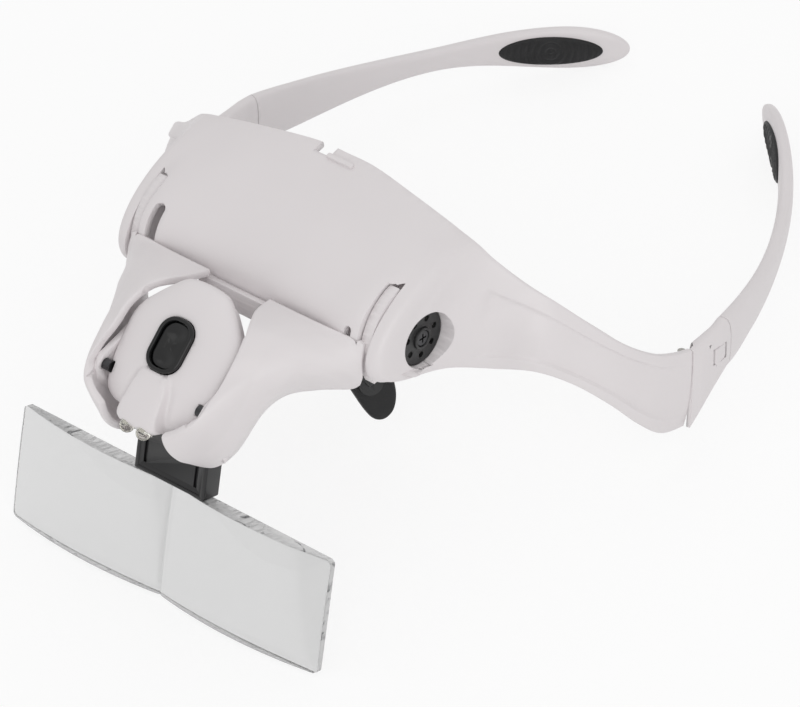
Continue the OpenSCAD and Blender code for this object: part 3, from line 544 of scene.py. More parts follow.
def stage():
    """The floor, 60 m wide and a hair below the part, the world and the two soft boxes."""
    corners = [(-30, -30), (30, -30), (30, 30), (-30, 30)]
    floor = piece("floor", [(x, y, -0.0003) for x, y in corners], [(0, 1, 2, 3)])
    floor.data.materials.append(pale_floor())
    studio_world()
    area_lamp("key", (0.9, -0.8, 0.9), (0, 0, 0.05), 1.2, 5)
    area_lamp("top", (-0.4, 0.6, 1.6), (0, 0, 0.05), 1.4, 2.2)


# The photograph's camera, solved in the head frame: its axes, its distance from the point that it
# looks past, its focal length in pixels and the picture point on its axis
IMAGE = (800, 707)
VIEW_RIGHT = (0.743, 0.670, 0.0)
VIEW_UP = (-0.370, 0.411, 0.833)
VIEW_BACK = (0.558, -0.619, 0.553)
LOOK_PAST = (0, -15.5, -17.2)
CAMERA_FAR = 1753
FOCAL_PX = 6862
AXIS_PX = (251.0, 355.3)


def camera():
    """The solved camera, turned so that its axis meets the middle of the picture and needs no shift."""
    axes = unit(spin([VIEW_RIGHT, VIEW_UP, VIEW_BACK], "x", -LEAN))
    off = np.array([(IMAGE[0] / 2 - AXIS_PX[0]) / FOCAL_PX, (AXIS_PX[1] - IMAGE[1] / 2) / FOCAL_PX, -1])
    back = unit(-(off @ axes))
    right = unit(axes[0] - back * (axes[0] @ back))
    up = np.cross(back, right)
    lens = bpy.data.cameras.new("camera")
    lens.sensor_width = 36
    lens.lens = FOCAL_PX * 36 / IMAGE[0]
    lens.clip_start, lens.clip_end = 0.1, 100
    made = new_object("camera", lens)
    made.rotation_mode = "QUATERNION"
    made.rotation_quaternion = Matrix(np.column_stack([right, up, back]).tolist()).to_quaternion()
    made.location = stand(np.array(LOOK_PAST) + CAMERA_FAR * np.array(VIEW_BACK))
    bpy.context.scene.camera = made


bpy.context.scene.view_settings.view_transform = "Standard"
stage()
camera()


# Brow shell: its wall, the radius of the cup round each hub, and the depth of the cheeks' panels
BROW_WALL, CUP_R, PANEL_DEPTH = 2, POCKET_R + 0.8, 0.9
BROW_RIBS = [
    [[x, -17.4, 2], [x, -17.9, 10.5], [x, -13.5, 17], top]
    for x, top in ((0, [0, 21.2, 26.7]), (10, [10, 21, 26.6]), (25, [25.5, 19.2, 25]), (37, [37, 18.2, 23.2]))
] + [
    [[41, -7, -7.2], [41, -29, -8.5], [41, -18, 19], [41, 18, 22.3]],
    [[44.4, -5.5, -8.1], [44.6, -27.5, -8.5], [44.4, -17.5, 18.6], [44.4, 17.8, 21.6]],
    [[45.2, -3.2, -9.2], [45.2, -21.5, -8.5], [45.2, -13.6, 17], [46, 17.9, 21]],
    [[46, 0.8, -9.8], [44.8, -12, -8.5], [45, -7.5, 13.6], [48, 18.1, 20]],
    [[48, 7.6, -11], [46, 2.4, -6], [46, 5, 10.5], [51.8, 19.6, 16.6]],
    [[55, 14.6, -11.6], [54, 13.6, -5], [53.8, 16, 6], [58.5, 23.4, 10.7]],
    [[64.5, 20, -11], [65.8, 20, -5], [65.2, 22, 2.5], [65.5, 27.8, 6]],
    [[70.8, 28, -16], [72.3, 28.5, -11], [72, 31, -5], [72.5, 34, -1.2]],
    [[76, 36.5, -24], [78, 37, -18], [78, 39, -11], [77.6, 40.5, -7.6]],
    [[79.3, 45, -33], [81.6, 46, -26], [81.6, 48, -17], [81, 48.5, -13]],
    [[80.8, 52.5, -38.8], [83, 53.5, -30], [83, 55, -20], [82.6, 55.5, -15.6]],
    [[81.7, 60.3, -40.1], [83.9, 60.3, -32], [83.9, 60.3, -22], [83.5, 60.3, -16.4]],
]


def arc_slot(x0, x1, a0, a1, r0, r1, steps=40):
    """A cutter round the hub axle between two angles and two radii. Its width follows a half circle
    near the upper end, so the slot ends round: w = W sqrt(1 - s^2), s the share of the last stretch."""
    mid, half = (x0 + x1) / 2, (x1 - x0) / 2
    a = np.linspace(a0, a1, steps)
    reach = math.degrees(half / ((r0 + r1) / 2))
    s = np.clip((a - (a1 - reach)) / reach, 0, 0.995)
    w = half * np.sqrt(1 - s * s)
    turn = np.radians(a)
    rings = []
    for x_side, r in ((-1, r0), (1, r0), (1, r1), (-1, r1)):
        rings.append(np.column_stack([mid + x_side * w, -r * np.cos(turn), r * np.sin(turn)]))
    return loft(np.stack(rings, 1))


def brow_shell():
    """The forehead shell: cubic curves through four controls a rib, and a spline from rib to rib. A
    shallow panel is sunk into each cheek, and the hubs, disc slots and small slots are cut out."""
    half = np.array(BROW_RIBS, float)
    ribs = np.concatenate([mirrored(half[:0:-1]), half])
    g, normals = facing(bezier_rows(curve_through(ribs, 8), 49), (0, 30, -20))
    share = np.linspace(0, 1, g.shape[1])[None, :]
    side = np.abs(g[..., 0])
    panel = bump(side, 52.2, 200, 1) * bump(share, 0.16, 0.8, 0.04) * np.clip((60 - g[..., 1]) / 14, 0, 1)
    obj = built("brow_shell_skin", shell(g - normals * PANEL_DEPTH * panel[..., None], BROW_WALL, 0.35))
    rim = rounded_outline(2 * CUP_R, 2 * CUP_R, CUP_R, 24)
    far = np.clip(45.1 + 0.25 * rim[:, 0], 44.6, 47.2)
    cup = loft([np.column_stack([x + 0 * far, rim]) for x in (SLOT_OUT + 0.02, far)])
    combine(obj, with_mirror(cup), "UNION")
    rooms = [(SLOT_IN, SLOT_OUT, DISC_R + 0.3), (POCKET_X, 60, POCKET_R), (POCKET_X - 2, POCKET_X + 1, 3.06)]
    combine(obj, with_mirror(joined(*[bar_x(*room) for room in rooms])))
    combine(obj, with_mirror(arc_slot(SLOT_IN, SLOT_OUT, -42, 74, 12, 26)))
    combine(obj, arc_slot(33.2, 35.3, -4, 24, 14, 20))
    combine(obj, arc_slot(-34.9, -31.4, -4, 47, 14, 20))
    combine(obj, box_part((-8.4, -3.2), (17.9, 30), (20, 30)))
    tab = slab(rounded_outline(8.6, 1.5, 0.5), -0.2, 0.9, 0.25)
    combine(obj, placed(tab, about("x", 14), by(0.6, 17.9, 25.75)), "UNION")
    dress(soft_edges(obj, 32, 0.3), "white", "frame", "brow_shell")


brow_shell()


# Visor yoke: its wall, half the width and the radius of the bay that the lamp tilts in, and half the
# width and the two radii of the bridge, which bends about the hubs
YOKE_WALL, BAY_HALF, BAY_R = 2.2, 17.1, 17.6
BRIDGE_HALF, BRIDGE_OUT, BRIDGE_IN = 13.5, 20.6, 18.5
YOKE_RIBS = [
    [[10.4, -19.9, 6.6], [20, -20.6, 7.2], [29, -19.6, 6.4], [39.2, -17.2, 4.4]],
    [[12.3, -27.4, 7.5], [21.4, -26.2, 7.8], [34, -21.2, 5.8], [39.4, -17.6, -0.6]],
    [[16.3, -34.6, 7.3], [23.6, -32, 7.6], [36, -22.4, 2.4], [39, -17.3, -6]],
    [[18.7, -41.4, 3.8], [24.2, -36.6, 5.4], [34.6, -24.4, 0.2], [36.6, -17.6, -10]],
    [[19.2, -47.2, -1.2], [24.6, -40.4, 2.6], [30.4, -31, 0.6], [30.8, -23.6, -10]],
    [[19.3, -52.4, -4.6], [24.6, -45.2, -0.6], [27.4, -36.8, -2.6], [24.2, -28.8, -12]],
    [[19.2, -56.2, -7.4], [23.8, -50, -4.8], [24.6, -40.8, -11], [18.8, -32, -18.6]],
    [[17.6, -59, -10.4], [21.6, -54.4, -11.2], [20.4, -44.8, -21], [15.6, -37.6, -28.4]],
    [[14.4, -60.4, -13], [16.8, -58, -16.4], [16.4, -51, -25], [13.8, -44.6, -30.8]],
    [[10.8, -60.8, -14.6], [11.4, -60.8, -18], [11.6, -57, -24], [11.4, -52.4, -26.6]],
]
YOKE_FOLD = [(38, -20.2, -2), (33.8, -23.4, -1.2), (29.3, -30, 1), (27.3, -33.4, -2), (24.6, -36, -7),
             (20.6, -39, -14), (17, -43, -22)]


def fold_height(points, line, height, reach):
    """A soft crest along a line: height times (1 - d / reach), d the distance to the nearest stretch."""
    line = curve_through(line, 6)
    a, b = line[:-1], line[1:]
    step = b - a
    along = ((points[..., None, :] - a) * step).sum(-1) / (step * step).sum(-1)
    nearest = a + np.clip(along, 0, 1)[..., None] * step
    d = np.linalg.norm(points[..., None, :] - nearest, axis=-1).min(-1)
    return height * np.clip(1 - np.sqrt(d * d + 0.25) / reach, 0, 1)


def yoke_arm():
    """One arm: cubic curves through four controls a rib, a spline from rib to rib, and a crest along
    the fold."""
    g = bezier_rows(curve_through(np.array(YOKE_RIBS, float), 8), 41)
    g, n = facing(g, (18, -34, -12))
    g = g + n * fold_height(g, YOKE_FOLD, 1.7, 8)[..., None]
    return shell(g, YOKE_WALL, 0.55)


def disc_part():
    """The turning disc: a round plate cut to the sector that shows in the shell's slot."""
    a = np.radians(np.linspace(-30, 72, 60))
    outline = [(-DISC_R * math.cos(t), DISC_R * math.sin(t)) for t in a] + [(1, 6), (5, 4), (6, 0), (5, -4), (1, -6)]
    return prism_x(outline, DISC_IN, DISC_OUT)


def arc_bar(half, outer, inner, start, end, steps, y=0, z=0):
    """A bar along X whose section is an arc of even thickness, between two angles about an axis."""
    a = np.radians(np.linspace(start, end, steps))
    section = [(y + outer * math.cos(t), z + outer * math.sin(t)) for t in a]
    section += [(y + inner * math.cos(t), z + inner * math.sin(t)) for t in a[::-1]]
    return prism_x(section, -half, half)


YOKE_CHEEK = [(-24, 0), (-37, -1.5), (-45, -4.6), (-52, -6.8), (-55, -9.5), (-54.4, -13.2), (-49.4, -18.6), (-42, -21),
              (-36, -19.6), (-31, -14), (-24, -7)]
BAY_PLAN = [(-BAY_HALF, -75), (BAY_HALF, -75), (BAY_HALF, -36.5), (9.9, -23.8), (-9.9, -23.8), (-BAY_HALF, -36.5)]
BAY_SIDE = [(-22, 20), (-75, 20), (-75, -8), (-34, -13), (-22, -3)]


def visor_yoke():
    """Two arms with discs and hub stubs, the bridge, the lamp's cheeks and trough, and the lip that
    holds the lens clip. The lamp's bay is cut out of them, and then the clip's room and the pin holes."""
    obj = built("visor_yoke_moulding", with_mirror(yoke_arm()))
    combine(obj, with_mirror(disc_part()), "UNION")
    combine(obj, with_mirror(bar_x(DISC_IN, POCKET_X + 0.3, 3)), "UNION")
    combine(obj, with_mirror(prism_x(YOKE_CHEEK, BAY_HALF, 18.9)), "UNION")
    combine(obj, arc_bar(BRIDGE_HALF, BRIDGE_OUT, BRIDGE_IN, 185, 168.5, 12), "UNION")
    combine(obj, arc_bar(17.6, BAY_R + 1.8, BAY_R, -70, 3, 40, *LAMP_PIVOT), "UNION")
    lip = slab(rounded_outline(CLIP_W + 2.4, CLIP_D + 2.4, 2.8), 11.5, 17, 0.4)
    lip = built("collar", lip, by(y=CLIP_FRONT + CLIP_D / 2), lens_frame)
    combine(lip, bar_x(-40, 40, BAY_R, *LAMP_PIVOT))
    ahead = box_part((-10.6, 10.6), (CLIP_FRONT - 12, CLIP_FRONT), (0, 30))
    combine(lip, placed(ahead, lens_frame))
    cut_by(obj, lip, "UNION")
    combine(obj, bar_x(-DISC_IN, DISC_IN, BRIDGE_IN))
    bay = built("bay", loft([[(x, y, z) for x, y in BAY_PLAN] for z in (-60, 40)]))
    combine(bay, prism_x(BAY_SIDE, -BAY_HALF, BAY_HALF), "INTERSECT")
    cut_by(obj, bay, "DIFFERENCE")
    half, front = CLIP_W / 2 + 0.2, CLIP_FRONT - 0.2
    hollow = box_part((-half, half), (front, CLIP_FRONT + CLIP_D + 0.2), (-6, CLIP_H + 0.2))
    combine(obj, placed(hollow, lens_frame))
    combine(obj, with_mirror(bar_x(16, 19.45, 1.55, *LAMP_PIVOT)))
    dress(soft_edges(obj, 38, 0.28), "white", "visor", "visor_yoke")


visor_yoke()


# Lamp: a domed face, a back cover, the switch and the bulbs. BACK_STEP is how far the back cover's
# outline lies inside the face's, SCREW_UP and BULB_OUT are the places of the screw and the bulbs
LAMP_HALF = [(0, 18.4), (3.4, 18.2), (6.9, 17.3), (10.6, 14.1), (13.8, 10.8), (16.4, 7.8), (17.8, 4.8), (18.1, 1.6),
             (17.7, -4), (17, -9), (16.2, -13), (14.6, -16.2), (11.8, -17.9), (8.8, -18.6), (7.2, -19.6), (6.6, -21.2),
             (5, -22.1), (2.5, -22.3), (0, -22.4)]
LAMP_SEAM, LAMP_WALL, BACK_STEP = -8.2, 1.5, 1.7
SWITCH_W, SWITCH_L, SWITCH_R = 10.8, 15, 4.6
SCREW_UP, BULB_OUT = 10.5, 2.8


def lamp_outline(shrink=0.0):
    """Both halves of the lamp's outline as one spline through the points of the half, moved inwards.
    A few rounds of (before + 2 here + after) / 4 even out the points that an inner corner crowds."""
    half = curve_through(LAMP_HALF, 8)
    ring = np.vstack([half, half[-2:0:-1] * [-1, 1]])[::-1]
    if shrink:
        ring = inset(ring, shrink)
        for _ in range(10):
            ring = (np.roll(ring, 1, 0) + 2 * ring + np.roll(ring, -1, 0)) / 4
    return ring


def domed(outline, middle, drop, power, steps=26):
    """Rings from the middle to the rim of an outline. The share of the way out is sin(t)^(2/p) and the
    fall is drop (1 - cos(t)^(2/p)): the quarter of a superellipse, flat on top with a rounded rim."""
    t = np.linspace(0.004, math.pi / 2, steps)
    share = np.sin(t) ** (2 / power)
    fall = drop * (1 - np.cos(t) ** (2 / power))
    xy = np.array(middle) + share[:, None, None] * (outline - np.array(middle))
    return xy, np.broadcast_to(-fall[:, None], xy.shape[:2]).copy()


def face_relief(xy):
    """The raised spine between two valleys from the switch down to the bulbs, the fall of the lobes
    beside it, and the collar below the switch."""
    x, y = np.abs(xy[..., 0]), xy[..., 1]
    low = smooth((-y - 7) / 4)
    half = 5 + 0.16 * np.clip(-y - 8, 0, 14)
    spine = smooth((half - x) / 1.5 + 0.5)
    valley = np.exp(-(((x - half - 0.9) / 0.9) ** 2))
    collar = np.exp(-(((y + 9.1) / 1.5) ** 2)) * smooth((6 - x) / 2.5)
    fall = low * (1 - spine) * 0.1 * np.clip(-y - 8, 0, 12)
    return low * (0.9 * spine - 0.5 * valley) + 0.75 * collar - fall - 0.006 * x * x


def lamp_half(front):
    """A hollow half of the lamp: the outer rings, the rim at the seam, and the inner rings back again."""
    rings = []
    for shrink, inner in ((0, False), (LAMP_WALL, True)):
        outline = lamp_outline(shrink if front else shrink + BACK_STEP)
        if front:
            xy, z = domed(outline, (0, -1), 4.4, 3.8)
            z += face_relief(xy) - 0.3
            low = LAMP_SEAM + 0.12
        else:
            xy, z = domed(outline, (0, -3), 4.4, 2.8)
            z = -(z + 4.4) - 9.9
            low = LAMP_SEAM - 0.12
        if inner:
            z = z - LAMP_WALL if front else z + LAMP_WALL
        step = BACK_STEP if front else 0
        wall = [np.column_stack([inset(outline, step * t), z[-1] + (low - z[-1]) * t]) for t in (0.33, 0.67, 1)]
        body = np.concatenate([np.dstack([xy, z]), wall])
        rings.append(body[::-1] if inner else body)
    return loft(np.concatenate(rings))


def switch_outline(wider, rounder):
    """The switch's outline, with its width and length, and its corners' radius, changed by amounts."""
    return rounded_outline(SWITCH_W + wider, SWITCH_L + wider, SWITCH_R + rounder, 12)


def lamp():
    """The face and the back cover, with their holes, and the screw with its crossed slots."""
    face = built("lamp_face", lamp_half(True), face_frame)
    combine(face, placed(slab(switch_outline(0.3, 0), -6, 4, 0.01), face_frame))
    cover = built("lamp_back", lamp_half(False), face_frame)
    for obj in (face, cover):
        for s in (-1, 1):
            combine(obj, placed(lathe([(2.1, -9), (2.1, 14)]), by(s * BULB_OUT), bulb_frame))
    pivots = with_mirror(bar_x(14.2, 20, 1.6, *LAMP_PIVOT))
    notches = with_mirror(placed(box_part((15.4, 20), (-13.4, -10.8), (-2.4, 4)), face_frame))
    combine(cover, pivots)
    combine(face, notches)
    combine(face, pivots)
    combine(cover, placed(lathe([(2.1, -22), (2.1, -12.8)]), by(y=SCREW_UP), face_frame))
    dress(soft_edges(face, 40, 0.22), "white", "lamp", "lamp_housing")
    dress(soft_edges(cover, 40, 0.22), "white", "lamp", "battery_cover")
    head = lathe([(0.01, -13), (1.5, -13), (1.9, -12.8), (1.9, -12), (1, -12), (1, -9), (0.01, -9)])
    screw = built("cover_screw", head, by(y=SCREW_UP), face_frame)
    slot = box_part((-1.2, 1.2), (-0.25, 0.25), (-14, -12.6))
    for degrees in (0, 90):
        combine(screw, placed(slot, about("z", degrees), by(y=SCREW_UP), face_frame))
    dress(soft_edges(screw, 30, 0.06), "steel", "lamp", "battery_cover_screw")


def rocker_top(xy):
    """Two dished ends, each a hollow that deepens as exp(-r^2), and a bar across the middle."""
    x, y = xy[..., 0], xy[..., 1]
    hollow = sum(np.exp(-(((y - s * 3.7) / 1.9) ** 2) - (x / 3.1) ** 2) for s in (-1, 1))
    return -1.05 * hollow + 0.3 * bump(y, -0.9, 0.9, 0.6) * smooth((3.8 - np.abs(x)) / 0.8)


def switch():
    """The bezel, the rocker that moves in it, and the body behind them."""
    bezel = built("switch_frame", slab(switch_outline(0, 0), -3, 0.75, 0.5), face_frame)
    combine(bezel, placed(slab(switch_outline(-2.2, -1), -2.4, 4, 0.01), face_frame))
    dress(soft_edges(bezel, 30, 0.22, 3), "gloss", "lamp", "switch_bezel")
    outline = switch_outline(-2.8, -1.3)
    xy, z = domed(outline, (0, 0), 0.6, 4, 30)
    z += rocker_top(xy) + 0.25
    wall = np.linspace(z[-1], np.full(len(outline), -1.5), 3)[1:]
    sides = np.dstack([np.broadcast_to(outline, wall.shape + (2,)), wall])
    rocker = built("switch_key", loft(np.concatenate([np.dstack([xy, z]), sides])), face_frame)
    dress(soft_edges(rocker, 40, 0), "gloss", "switch", "switch_rocker")
    base = built("switch_base", slab(rounded_outline(5, 8, 0.4), -5, -3.1, 0.15), face_frame)
    dress(soft_edges(base, 40, 0), "black", "lamp", "switch_body")


def bulb_lights():
    """Two bulbs with domed ends, each with a flange, and the two leads that stand in them."""
    dome = [(max(2 * math.cos(a), 0.01), 3 + 2 * math.sin(a)) for a in np.linspace(0, math.pi / 2, 12)]
    bulb = lathe([(0.01, -2), (1.95, -2), (1.95, 2.9)] + dome)
    flange = lathe([(2.04, 1.35), (2.45, 1.4), (2.5, 1.6), (2.5, 2.3), (2.4, 2.5), (2.04, 2.55)], tube=True)
    leads = []
    for x, w, top in ((-0.55, 0.42, 3.1), (0.5, 0.22, 2.7)):
        leads.append(box_part((x - w, x + w), (-0.25, 0.25), (-2.4, top)))
    for name, part, angle, width, look, nodes in (
        ("bulb_pair", bulb, 40, 0, "bulb", ["bulbs"]),
        ("bulb_flanges", flange, 40, 0, "bulb", ["bulb_collars"]),
        ("bulb_leads", joined(*leads), 30, 0.04, "nickel", []),
    ):
        both = joined(*[placed(part, by(s * BULB_OUT), bulb_frame) for s in (-1, 1)])
        dress(soft_edges(built(name, both), angle, width), look, "lamp", *nodes)


lamp()
switch()
bulb_lights()


# Lens clip and lens, in the lens's own frame
LENS_W, LENS_H, LENS_R = 106, 32.5, 1.2
LENS_SEAM_T, LENS_MID_T, LENS_END_T = 3.2, 6, 1.8


def lens_depth(x):
    """Thickness at a distance from the middle: a straight taper from the seam to the end, and a
    parabola on each half that adds the rest of the middle thickness."""
    u = np.clip(np.abs(x) / (LENS_W / 2), 0, 1)
    rest = LENS_MID_T - (LENS_SEAM_T + LENS_END_T) / 2
    return LENS_SEAM_T + (LENS_END_T - LENS_SEAM_T) * u + rest * 4 * u * (1 - u)


def lens():
    """The double lens: a grid for the front, bulged over its height too, and one for the flat back.
    Faces that look along the depth stay clear, and the narrow ones round them take a painted highlight with painted
    dark streaks."""
    u = np.linspace(-1, 1, 161)
    v = np.linspace(0, 1, 49)
    x, z = np.meshgrid(u * LENS_W / 2, -LENS_H * v, indexing="ij")
    rise = np.clip(LENS_R - np.minimum(-z, LENS_H + z), 0, LENS_R)
    corner = LENS_R - np.sqrt(np.clip(LENS_R ** 2 - rise ** 2, 0, None))
    x = np.sign(x) * np.minimum(np.abs(x), LENS_W / 2 - corner)
    crown = 1 - 0.16 * (2 * v[None, :] - 1) ** 2
    seam = 0.25 * np.exp(-((x / 0.5) ** 2))
    front = np.stack([x, -lens_depth(x) * crown + seam, z], -1)
    back = np.stack([x, 0.05 + 0 * x, z], -1)
    n, m = x.shape
    k = n * m
    faces = grid_faces(n, m) + [f[::-1] for f in grid_faces(n, m, base=k)]
    ring = grid_border(n, m)
    faces += [(a, b, b + k, a + k) for a, b in zip(ring, ring[1:] + ring[:1])]
    obj = built("double_lens", (np.concatenate([front, back]).reshape(-1, 3), faces), lens_frame)
    tab = slab(rounded_outline(CLIP_W - 4, 2.2, 0.3), -1.5, 4.4, 0.1)
    combine(obj, placed(tab, by(y=-1.15), lens_frame), "UNION")
    soft_edges(obj, 40, 0.25, 3)
    dress(obj, "clear", "lens_cartridge", "lens")
    # Second material for the narrow faces: a painted highlight with painted dark streaks of refraction
    obj.data.materials.append(LOOKS["edge"])
    depth_way = spin([0, 1, 0], "x", -LENS_TILT - LEAN)
    polygons = obj.data.polygons
    normals = np.empty(len(polygons) * 3, np.float32)
    polygons.foreach_get("normal", normals)
    across = np.abs(normals.reshape(-1, 3) @ depth_way)
    polygons.foreach_set("material_index", (across < 0.55).astype(np.int32))


def lens_clip():
    """The black block: a panel sunk into its front, two slots in the panel, and a slit for the lens's
    tab."""
    block = slab(rounded_outline(CLIP_W, CLIP_D, 0.7), 0.2, CLIP_H, 0.5)
    obj = built("lens_clip_block", block, by(y=CLIP_FRONT + CLIP_D / 2), lens_frame)
    front = CLIP_FRONT
    for x, y, z in (
        ((-10.6, 10.6), (front - 1, front + 0.25), (1.4, 12.8)),
        ((-9.2, -8.2), (front - 1, front + 1.2), (2.9, 9.4)),
        ((8.0, 9.0), (front - 1, front + 1.2), (2.9, 9.4)),
        ((-10.2, 10.2), (-2.45, 0.25), (-1, 4.7)),
    ):
        combine(obj, placed(box_part(x, y, z), lens_frame))
    dress(soft_edges(obj, 40, 0.18), "black", "lens_cartridge", "lens_clip")


lens()
lens_clip()


# Hub caps, nose pads and temples. The seam between socket and arm is a place in X and Y and the
# direction in which the arm leaves it; the arm is an arc of ARM_R that climbs from ARM_LOW to ARM_HIGH
SEAM = (81.4, 75.6, math.radians(10.5))
ARM_R, ARM_SWEEP, ARM_T = 143, math.radians(44), 3.2
ARM_LOW, ARM_HIGH = -21.6, -16.2
CAP_PROFILE = [(1.2, 0), (7.5, 0), (7.65, 0.15), (7.65, 1.05), (7.45, 1.2), (6.9, 1.2), (6.6, 1), (3.6, 0.95),
               (3.1, 1.1), (3, 1.75), (2.8, 1.9), (2.35, 1.9), (2.22, 1.75), (2.2, 0.7), (1.2, 0.7)]
PAD_RING = [(-6.2, 4), (-4.7, -2.5), (-3, -8.4), (-1.3, -11.6), (1.4, -12.7), (4.3, -11.2), (6.1, -7.4), (6.6, -2.5),
            (6.1, 2.5), (5, 7), (3, 9.4), (0, 10), (-3.4, 9.4), (-5.6, 7.4)]


def hub_cap(side, node):
    """The disc in the side pocket: a dished face inside a rim, a raised ring for the screw, and seven
    holes."""
    disc = lathe([(r, CAP_X + out) for r, out in CAP_PROFILE], 96, "x", tube=True)
    turns = 2 * math.pi * np.arange(7) / 7 + 0.25
    holes = [bar_x(CAP_X - 1, CAP_X + 3, 0.85, 5.2 * math.cos(a), 5.2 * math.sin(a), 24) for a in turns]
    obj = built(node + "_disc", on_side(disc, side))
    combine(obj, on_side(joined(*holes), side))
    dress(soft_edges(obj, 40, 0.1), "black", "visor", node)


def nose_pad(side, node):
    """A fan-shaped rubber pad, a little hollow towards the nose, with its rim rounded and a screw hole."""
    outline = curve_through(PAD_RING[-1:] + PAD_RING + PAD_RING[:2], 6)[6:-6][:-1]
    levels = [(1, -1.2), (0.45, -1.15), (0.12, -0.8), (0, -0.2), (0, 0.2), (0.12, 0.8), (0.45, 1.15), (1, 1.2)]
    rings = [np.column_stack([np.full(len(outline), h), inset(outline, d)]) for d, h in levels]
    for s, h in ((0.7, 1.0), (0.4, 0.82), (0.02, 0.75)):
        ring = inset(outline, 1) * s
        rings.append(np.column_stack([np.full(len(outline), h), ring]))
        rings.insert(0, np.column_stack([np.full(len(outline), -1.2), ring]))
    hole = lathe([(0.78, -3), (0.78, 3)], 24, "x")
    obj = built(node + "_rubber", on_side(placed(loft(rings), nose_frame), side))
    combine(obj, on_side(placed(hole, nose_frame), side))
    dress(soft_edges(obj, 50, 0), "rubber", "frame", node)


def arm_size(u):
    """Height and thickness of an arm at a share of its length: smooth steps between the root, the
    slimmest place halfway and the wide place near the tip, which closes as an ellipse does."""
    root, waist, tip = 15, 6.5, 12.6
    falling = root + (waist - root) * smooth(u / 0.5)
    rising = waist + (tip - waist) * smooth((u - 0.5) / 0.34)
    closing = tip * np.sqrt(np.clip(1 - ((u - 0.84) / 0.16) ** 2, 0.0004, 1))
    tall = np.where(u > 0.84, closing, np.where(u < 0.5, falling, rising))
    thick = ARM_T + (5.2 - ARM_T) * (1 - smooth(u / 0.14))
    thick = thick * np.where(u > 0.88, np.sqrt(np.clip(1 - ((u - 0.88) / 0.12) ** 2, 0.05, 1)), 1)
    return tall, thick


def arm_place(u, out, up):
    """A place by the arm: its middle line is an arc seen from above, which climbs towards the tip."""
    a = SEAM[2] + ARM_SWEEP * u
    x = SEAM[0] - ARM_R * math.cos(SEAM[2]) + (ARM_R + out) * np.cos(a)
    y = SEAM[1] - ARM_R * math.sin(SEAM[2]) + (ARM_R + out) * np.sin(a)
    z = ARM_LOW + (ARM_HIGH - ARM_LOW) * smooth(np.minimum(1, u / 0.7)) + up
    return np.stack([x, y, z], -1)


def ring_share(count, power):
    """A closed ring by its superellipse: cos and sin of the turn, each to a power with its sign kept."""
    a = np.linspace(0, 2 * math.pi, count, endpoint=False)
    c, s = np.cos(a), np.sin(a)
    return np.sign(c) * np.abs(c) ** power, np.sign(s) * np.abs(s) ** power


def temple_arm():
    """The arm as superellipse rings along its arc, closer together where its tip closes."""
    u = np.concatenate([np.linspace(0, 0.84, 90)[:-1], 0.84 + 0.16 * np.sin(np.linspace(0, math.pi / 2, 34))])
    tall, thick = arm_size(u)
    c, s = ring_share(56, 0.7)
    inward = 0.4 * smooth(u / 0.14)[:, None]
    return loft(arm_place(u[:, None], (thick[:, None] / 2 + inward) * c - inward, tall[:, None] / 2 * s))


def plug_frame(points):
    """The plug's frame at the seam to the head frame: its Y runs along the arm."""
    return spin(points, "z", SEAM[2]) + np.array([SEAM[0], SEAM[1], ARM_LOW])


def grip_pad():
    """The rubber oval near the tip: its face rises and falls as a cosine of the distance from the
    middle, which makes round rings that the oval's rim cuts off."""
    r = np.linspace(0.004, 1, 64)
    a = np.linspace(0, 2 * math.pi, 96, endpoint=False)
    middle, half_u, half_z = 0.8, 0.133, 4.3
    u = middle + half_u * r[:, None] * np.cos(a)
    z = half_z * r[:, None] * np.sin(a)
    away = np.hypot(half_u * ARM_R * ARM_SWEEP * r[:, None] * np.cos(a), z)
    rings = 0.2 * np.cos(2 * math.pi * away / 1.9) * smooth((0.93 - r) / 0.05)[:, None]
    rise = (0.9 * np.clip(1 - r ** 10, 0, 1) ** 0.5)[:, None] + rings
    face = arm_place(u, -ARM_T / 2 - 0.7 - np.clip(rise, 0.02, 1.18) + 0 * u, z)
    back = arm_place(u[-1], -ARM_T / 2 - 0.3 + 0 * z[-1], z[-1])
    return loft(np.concatenate([face, back[None]]))


# Rings of the socket from hinge to seam: place in X and Y, thickness, height, place in Z, turn in
# degrees, and the power of the superellipse
SOCKET = [(82.5, 60.65, 2.8, 23.9, -28.2, 0, 0.25), (82.35, 62.4, 3.8, 22.7, -27.4, 1, 0.4),
          (82.2, 64, 4.8, 21.4, -26.6, 2, 0.5), (82.15, 68, 5.2, 18.3, -24.5, 4, 0.6),
          (82.05, 72, 5.2, 15.8, -22.6, 7, 0.65), (81.44, 75.35, 5.2, 15, -21.6, 10.5, 0.68)]


def temple_socket():
    """The piece between hinge and seam: superellipse rings whose place, size and turn follow a spline."""
    x, y, thick, tall, z, turn, power = curve_through(SOCKET, 10).T[..., None]
    c, s = ring_share(56, power)
    out = thick / 2 * c
    turn = np.radians(turn)
    return loft(np.stack([x + out * np.cos(turn), y + out * np.sin(turn), z + tall / 2 * s], -1))


def hinge_post(low, high, r):
    """A round post on the hinge's axis."""
    return placed(lathe([(r, low), (r, high)], 40), by(*HINGE))


def shaped(name, side, part, added, cut):
    """An object of one side from its part, the parts added and the parts cut, with its edges rounded."""
    obj = built(name, on_side(part, side))
    for extra in added:
        combine(obj, on_side(extra, side), "UNION")
    for room in cut:
        combine(obj, on_side(room, side))
    return soft_edges(obj, 50, 0.2)


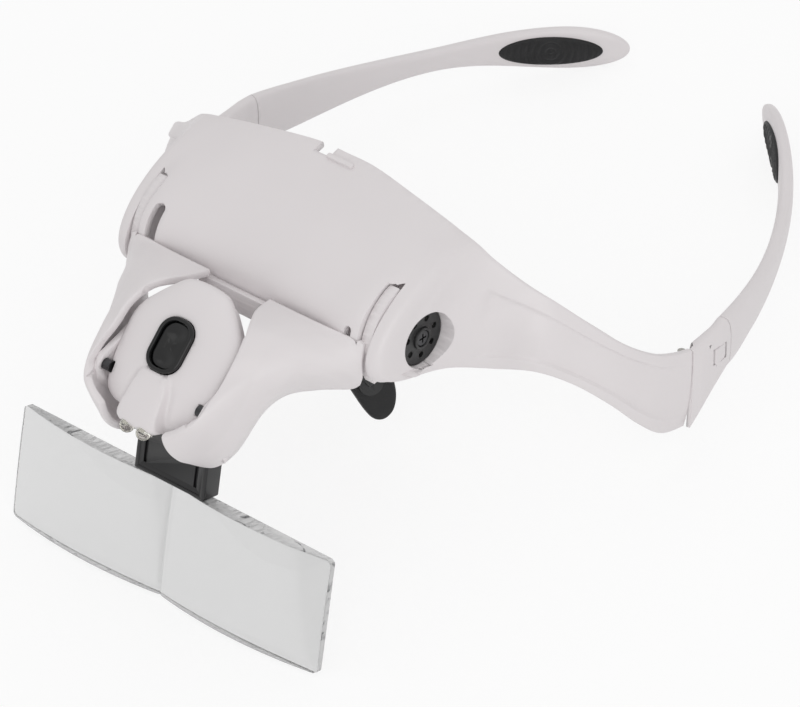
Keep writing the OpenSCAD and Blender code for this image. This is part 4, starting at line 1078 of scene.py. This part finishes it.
def temple(side, name):
    """The arm with the tongue that sits in its socket, the socket with its knuckle, the rubber grip and
    the latch button."""
    body = "temple_" + name
    tongue = placed(box_part((-1.1, 1.1), (-9, 1), (-4, 4)), plug_frame)
    window = placed(box_part((0.1, 4), (-8, -2.6), (-2.5, 2.5)), plug_frame)
    arm = shaped("arm_" + name, side, temple_arm(), [tongue], [window])
    dress(arm, "white", body, "temple_arm_" + name)
    x, y = HINGE
    knuckle = [hinge_post(-31, -24, 2.5), box_part((x, x + 3), (y, y + 4.5), (-31, -24))]
    tongue_room = placed(box_part((-1.35, 1.35), (-9.4, 1.6), (-4.25, 4.25)), plug_frame)
    latch_room = placed(box_part((0.1, 6), (-8.1, -2.5), (-2.4, 2.4)), plug_frame)
    posts = [hinge_post(-58, -31.1, 2.8), hinge_post(-23.9, 2, 2.8), hinge_post(-40, -10, 1.16)]
    socket = shaped("socket_" + name, side, temple_socket(), knuckle, posts + [tongue_room, latch_room])
    dress(socket, "white", body, "temple_socket_" + name)
    grip = built("grip_" + name, on_side(grip_pad(), side))
    dress(soft_edges(grip, 60, 0), "rubber", body, "temple_pad_" + name)
    latch = slab(rounded_outline(4.6, 5, 0.7), 1, 2.5, 0.25)
    latch = placed(latch, lambda p: p[:, [2, 1, 0]], by(y=-5.3), plug_frame)
    button = built("latch_" + name, on_side(latch, side))
    dress(soft_edges(button, 40, 0), "white", "latch_" + name, "temple_latch_" + name)


for side, name in ((1, "left"), (-1, "right")):
    hub_cap(side, "hub_cap_" + name)
    nose_pad(side, "nose_pad_" + name)
    temple(side, name)


def softened(node, look, body, width):
    """A copy of a solid with its loose triangles merged, its flat faces joined and its edges rounded."""
    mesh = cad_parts[node].data.copy()
    work = bmesh.new()
    work.from_mesh(mesh)
    bmesh.ops.remove_doubles(work, verts=work.verts, dist=1e-6)
    bmesh.ops.dissolve_limit(work, angle_limit=math.radians(1), verts=work.verts, edges=work.edges)
    work.to_mesh(mesh)
    work.free()
    obj = new_object(node + "_moulding", mesh)
    dress(soft_edges(obj, 35, width), look, body, node)


softened("brow_liner", "white", "frame", 0.35)
softened("nose_bridge", "black", "frame", 0.25)


# Solids that keep their own shape and take a finish
PLAIN = {
    "steel": ("brow_screws", "nose_pad_screws", "hub_screws", "lamp_pivot_pins"),
    "nickel": ("hub_washers", "hinge_pins", "coin_cells"),
    "brass": ("cell_contacts",),
    "board": ("lamp_board",),
}
for look, names in PLAIN.items():
    for name in names:
        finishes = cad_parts[name].data.materials
        finishes.clear()
        finishes.append(LOOKS[look])
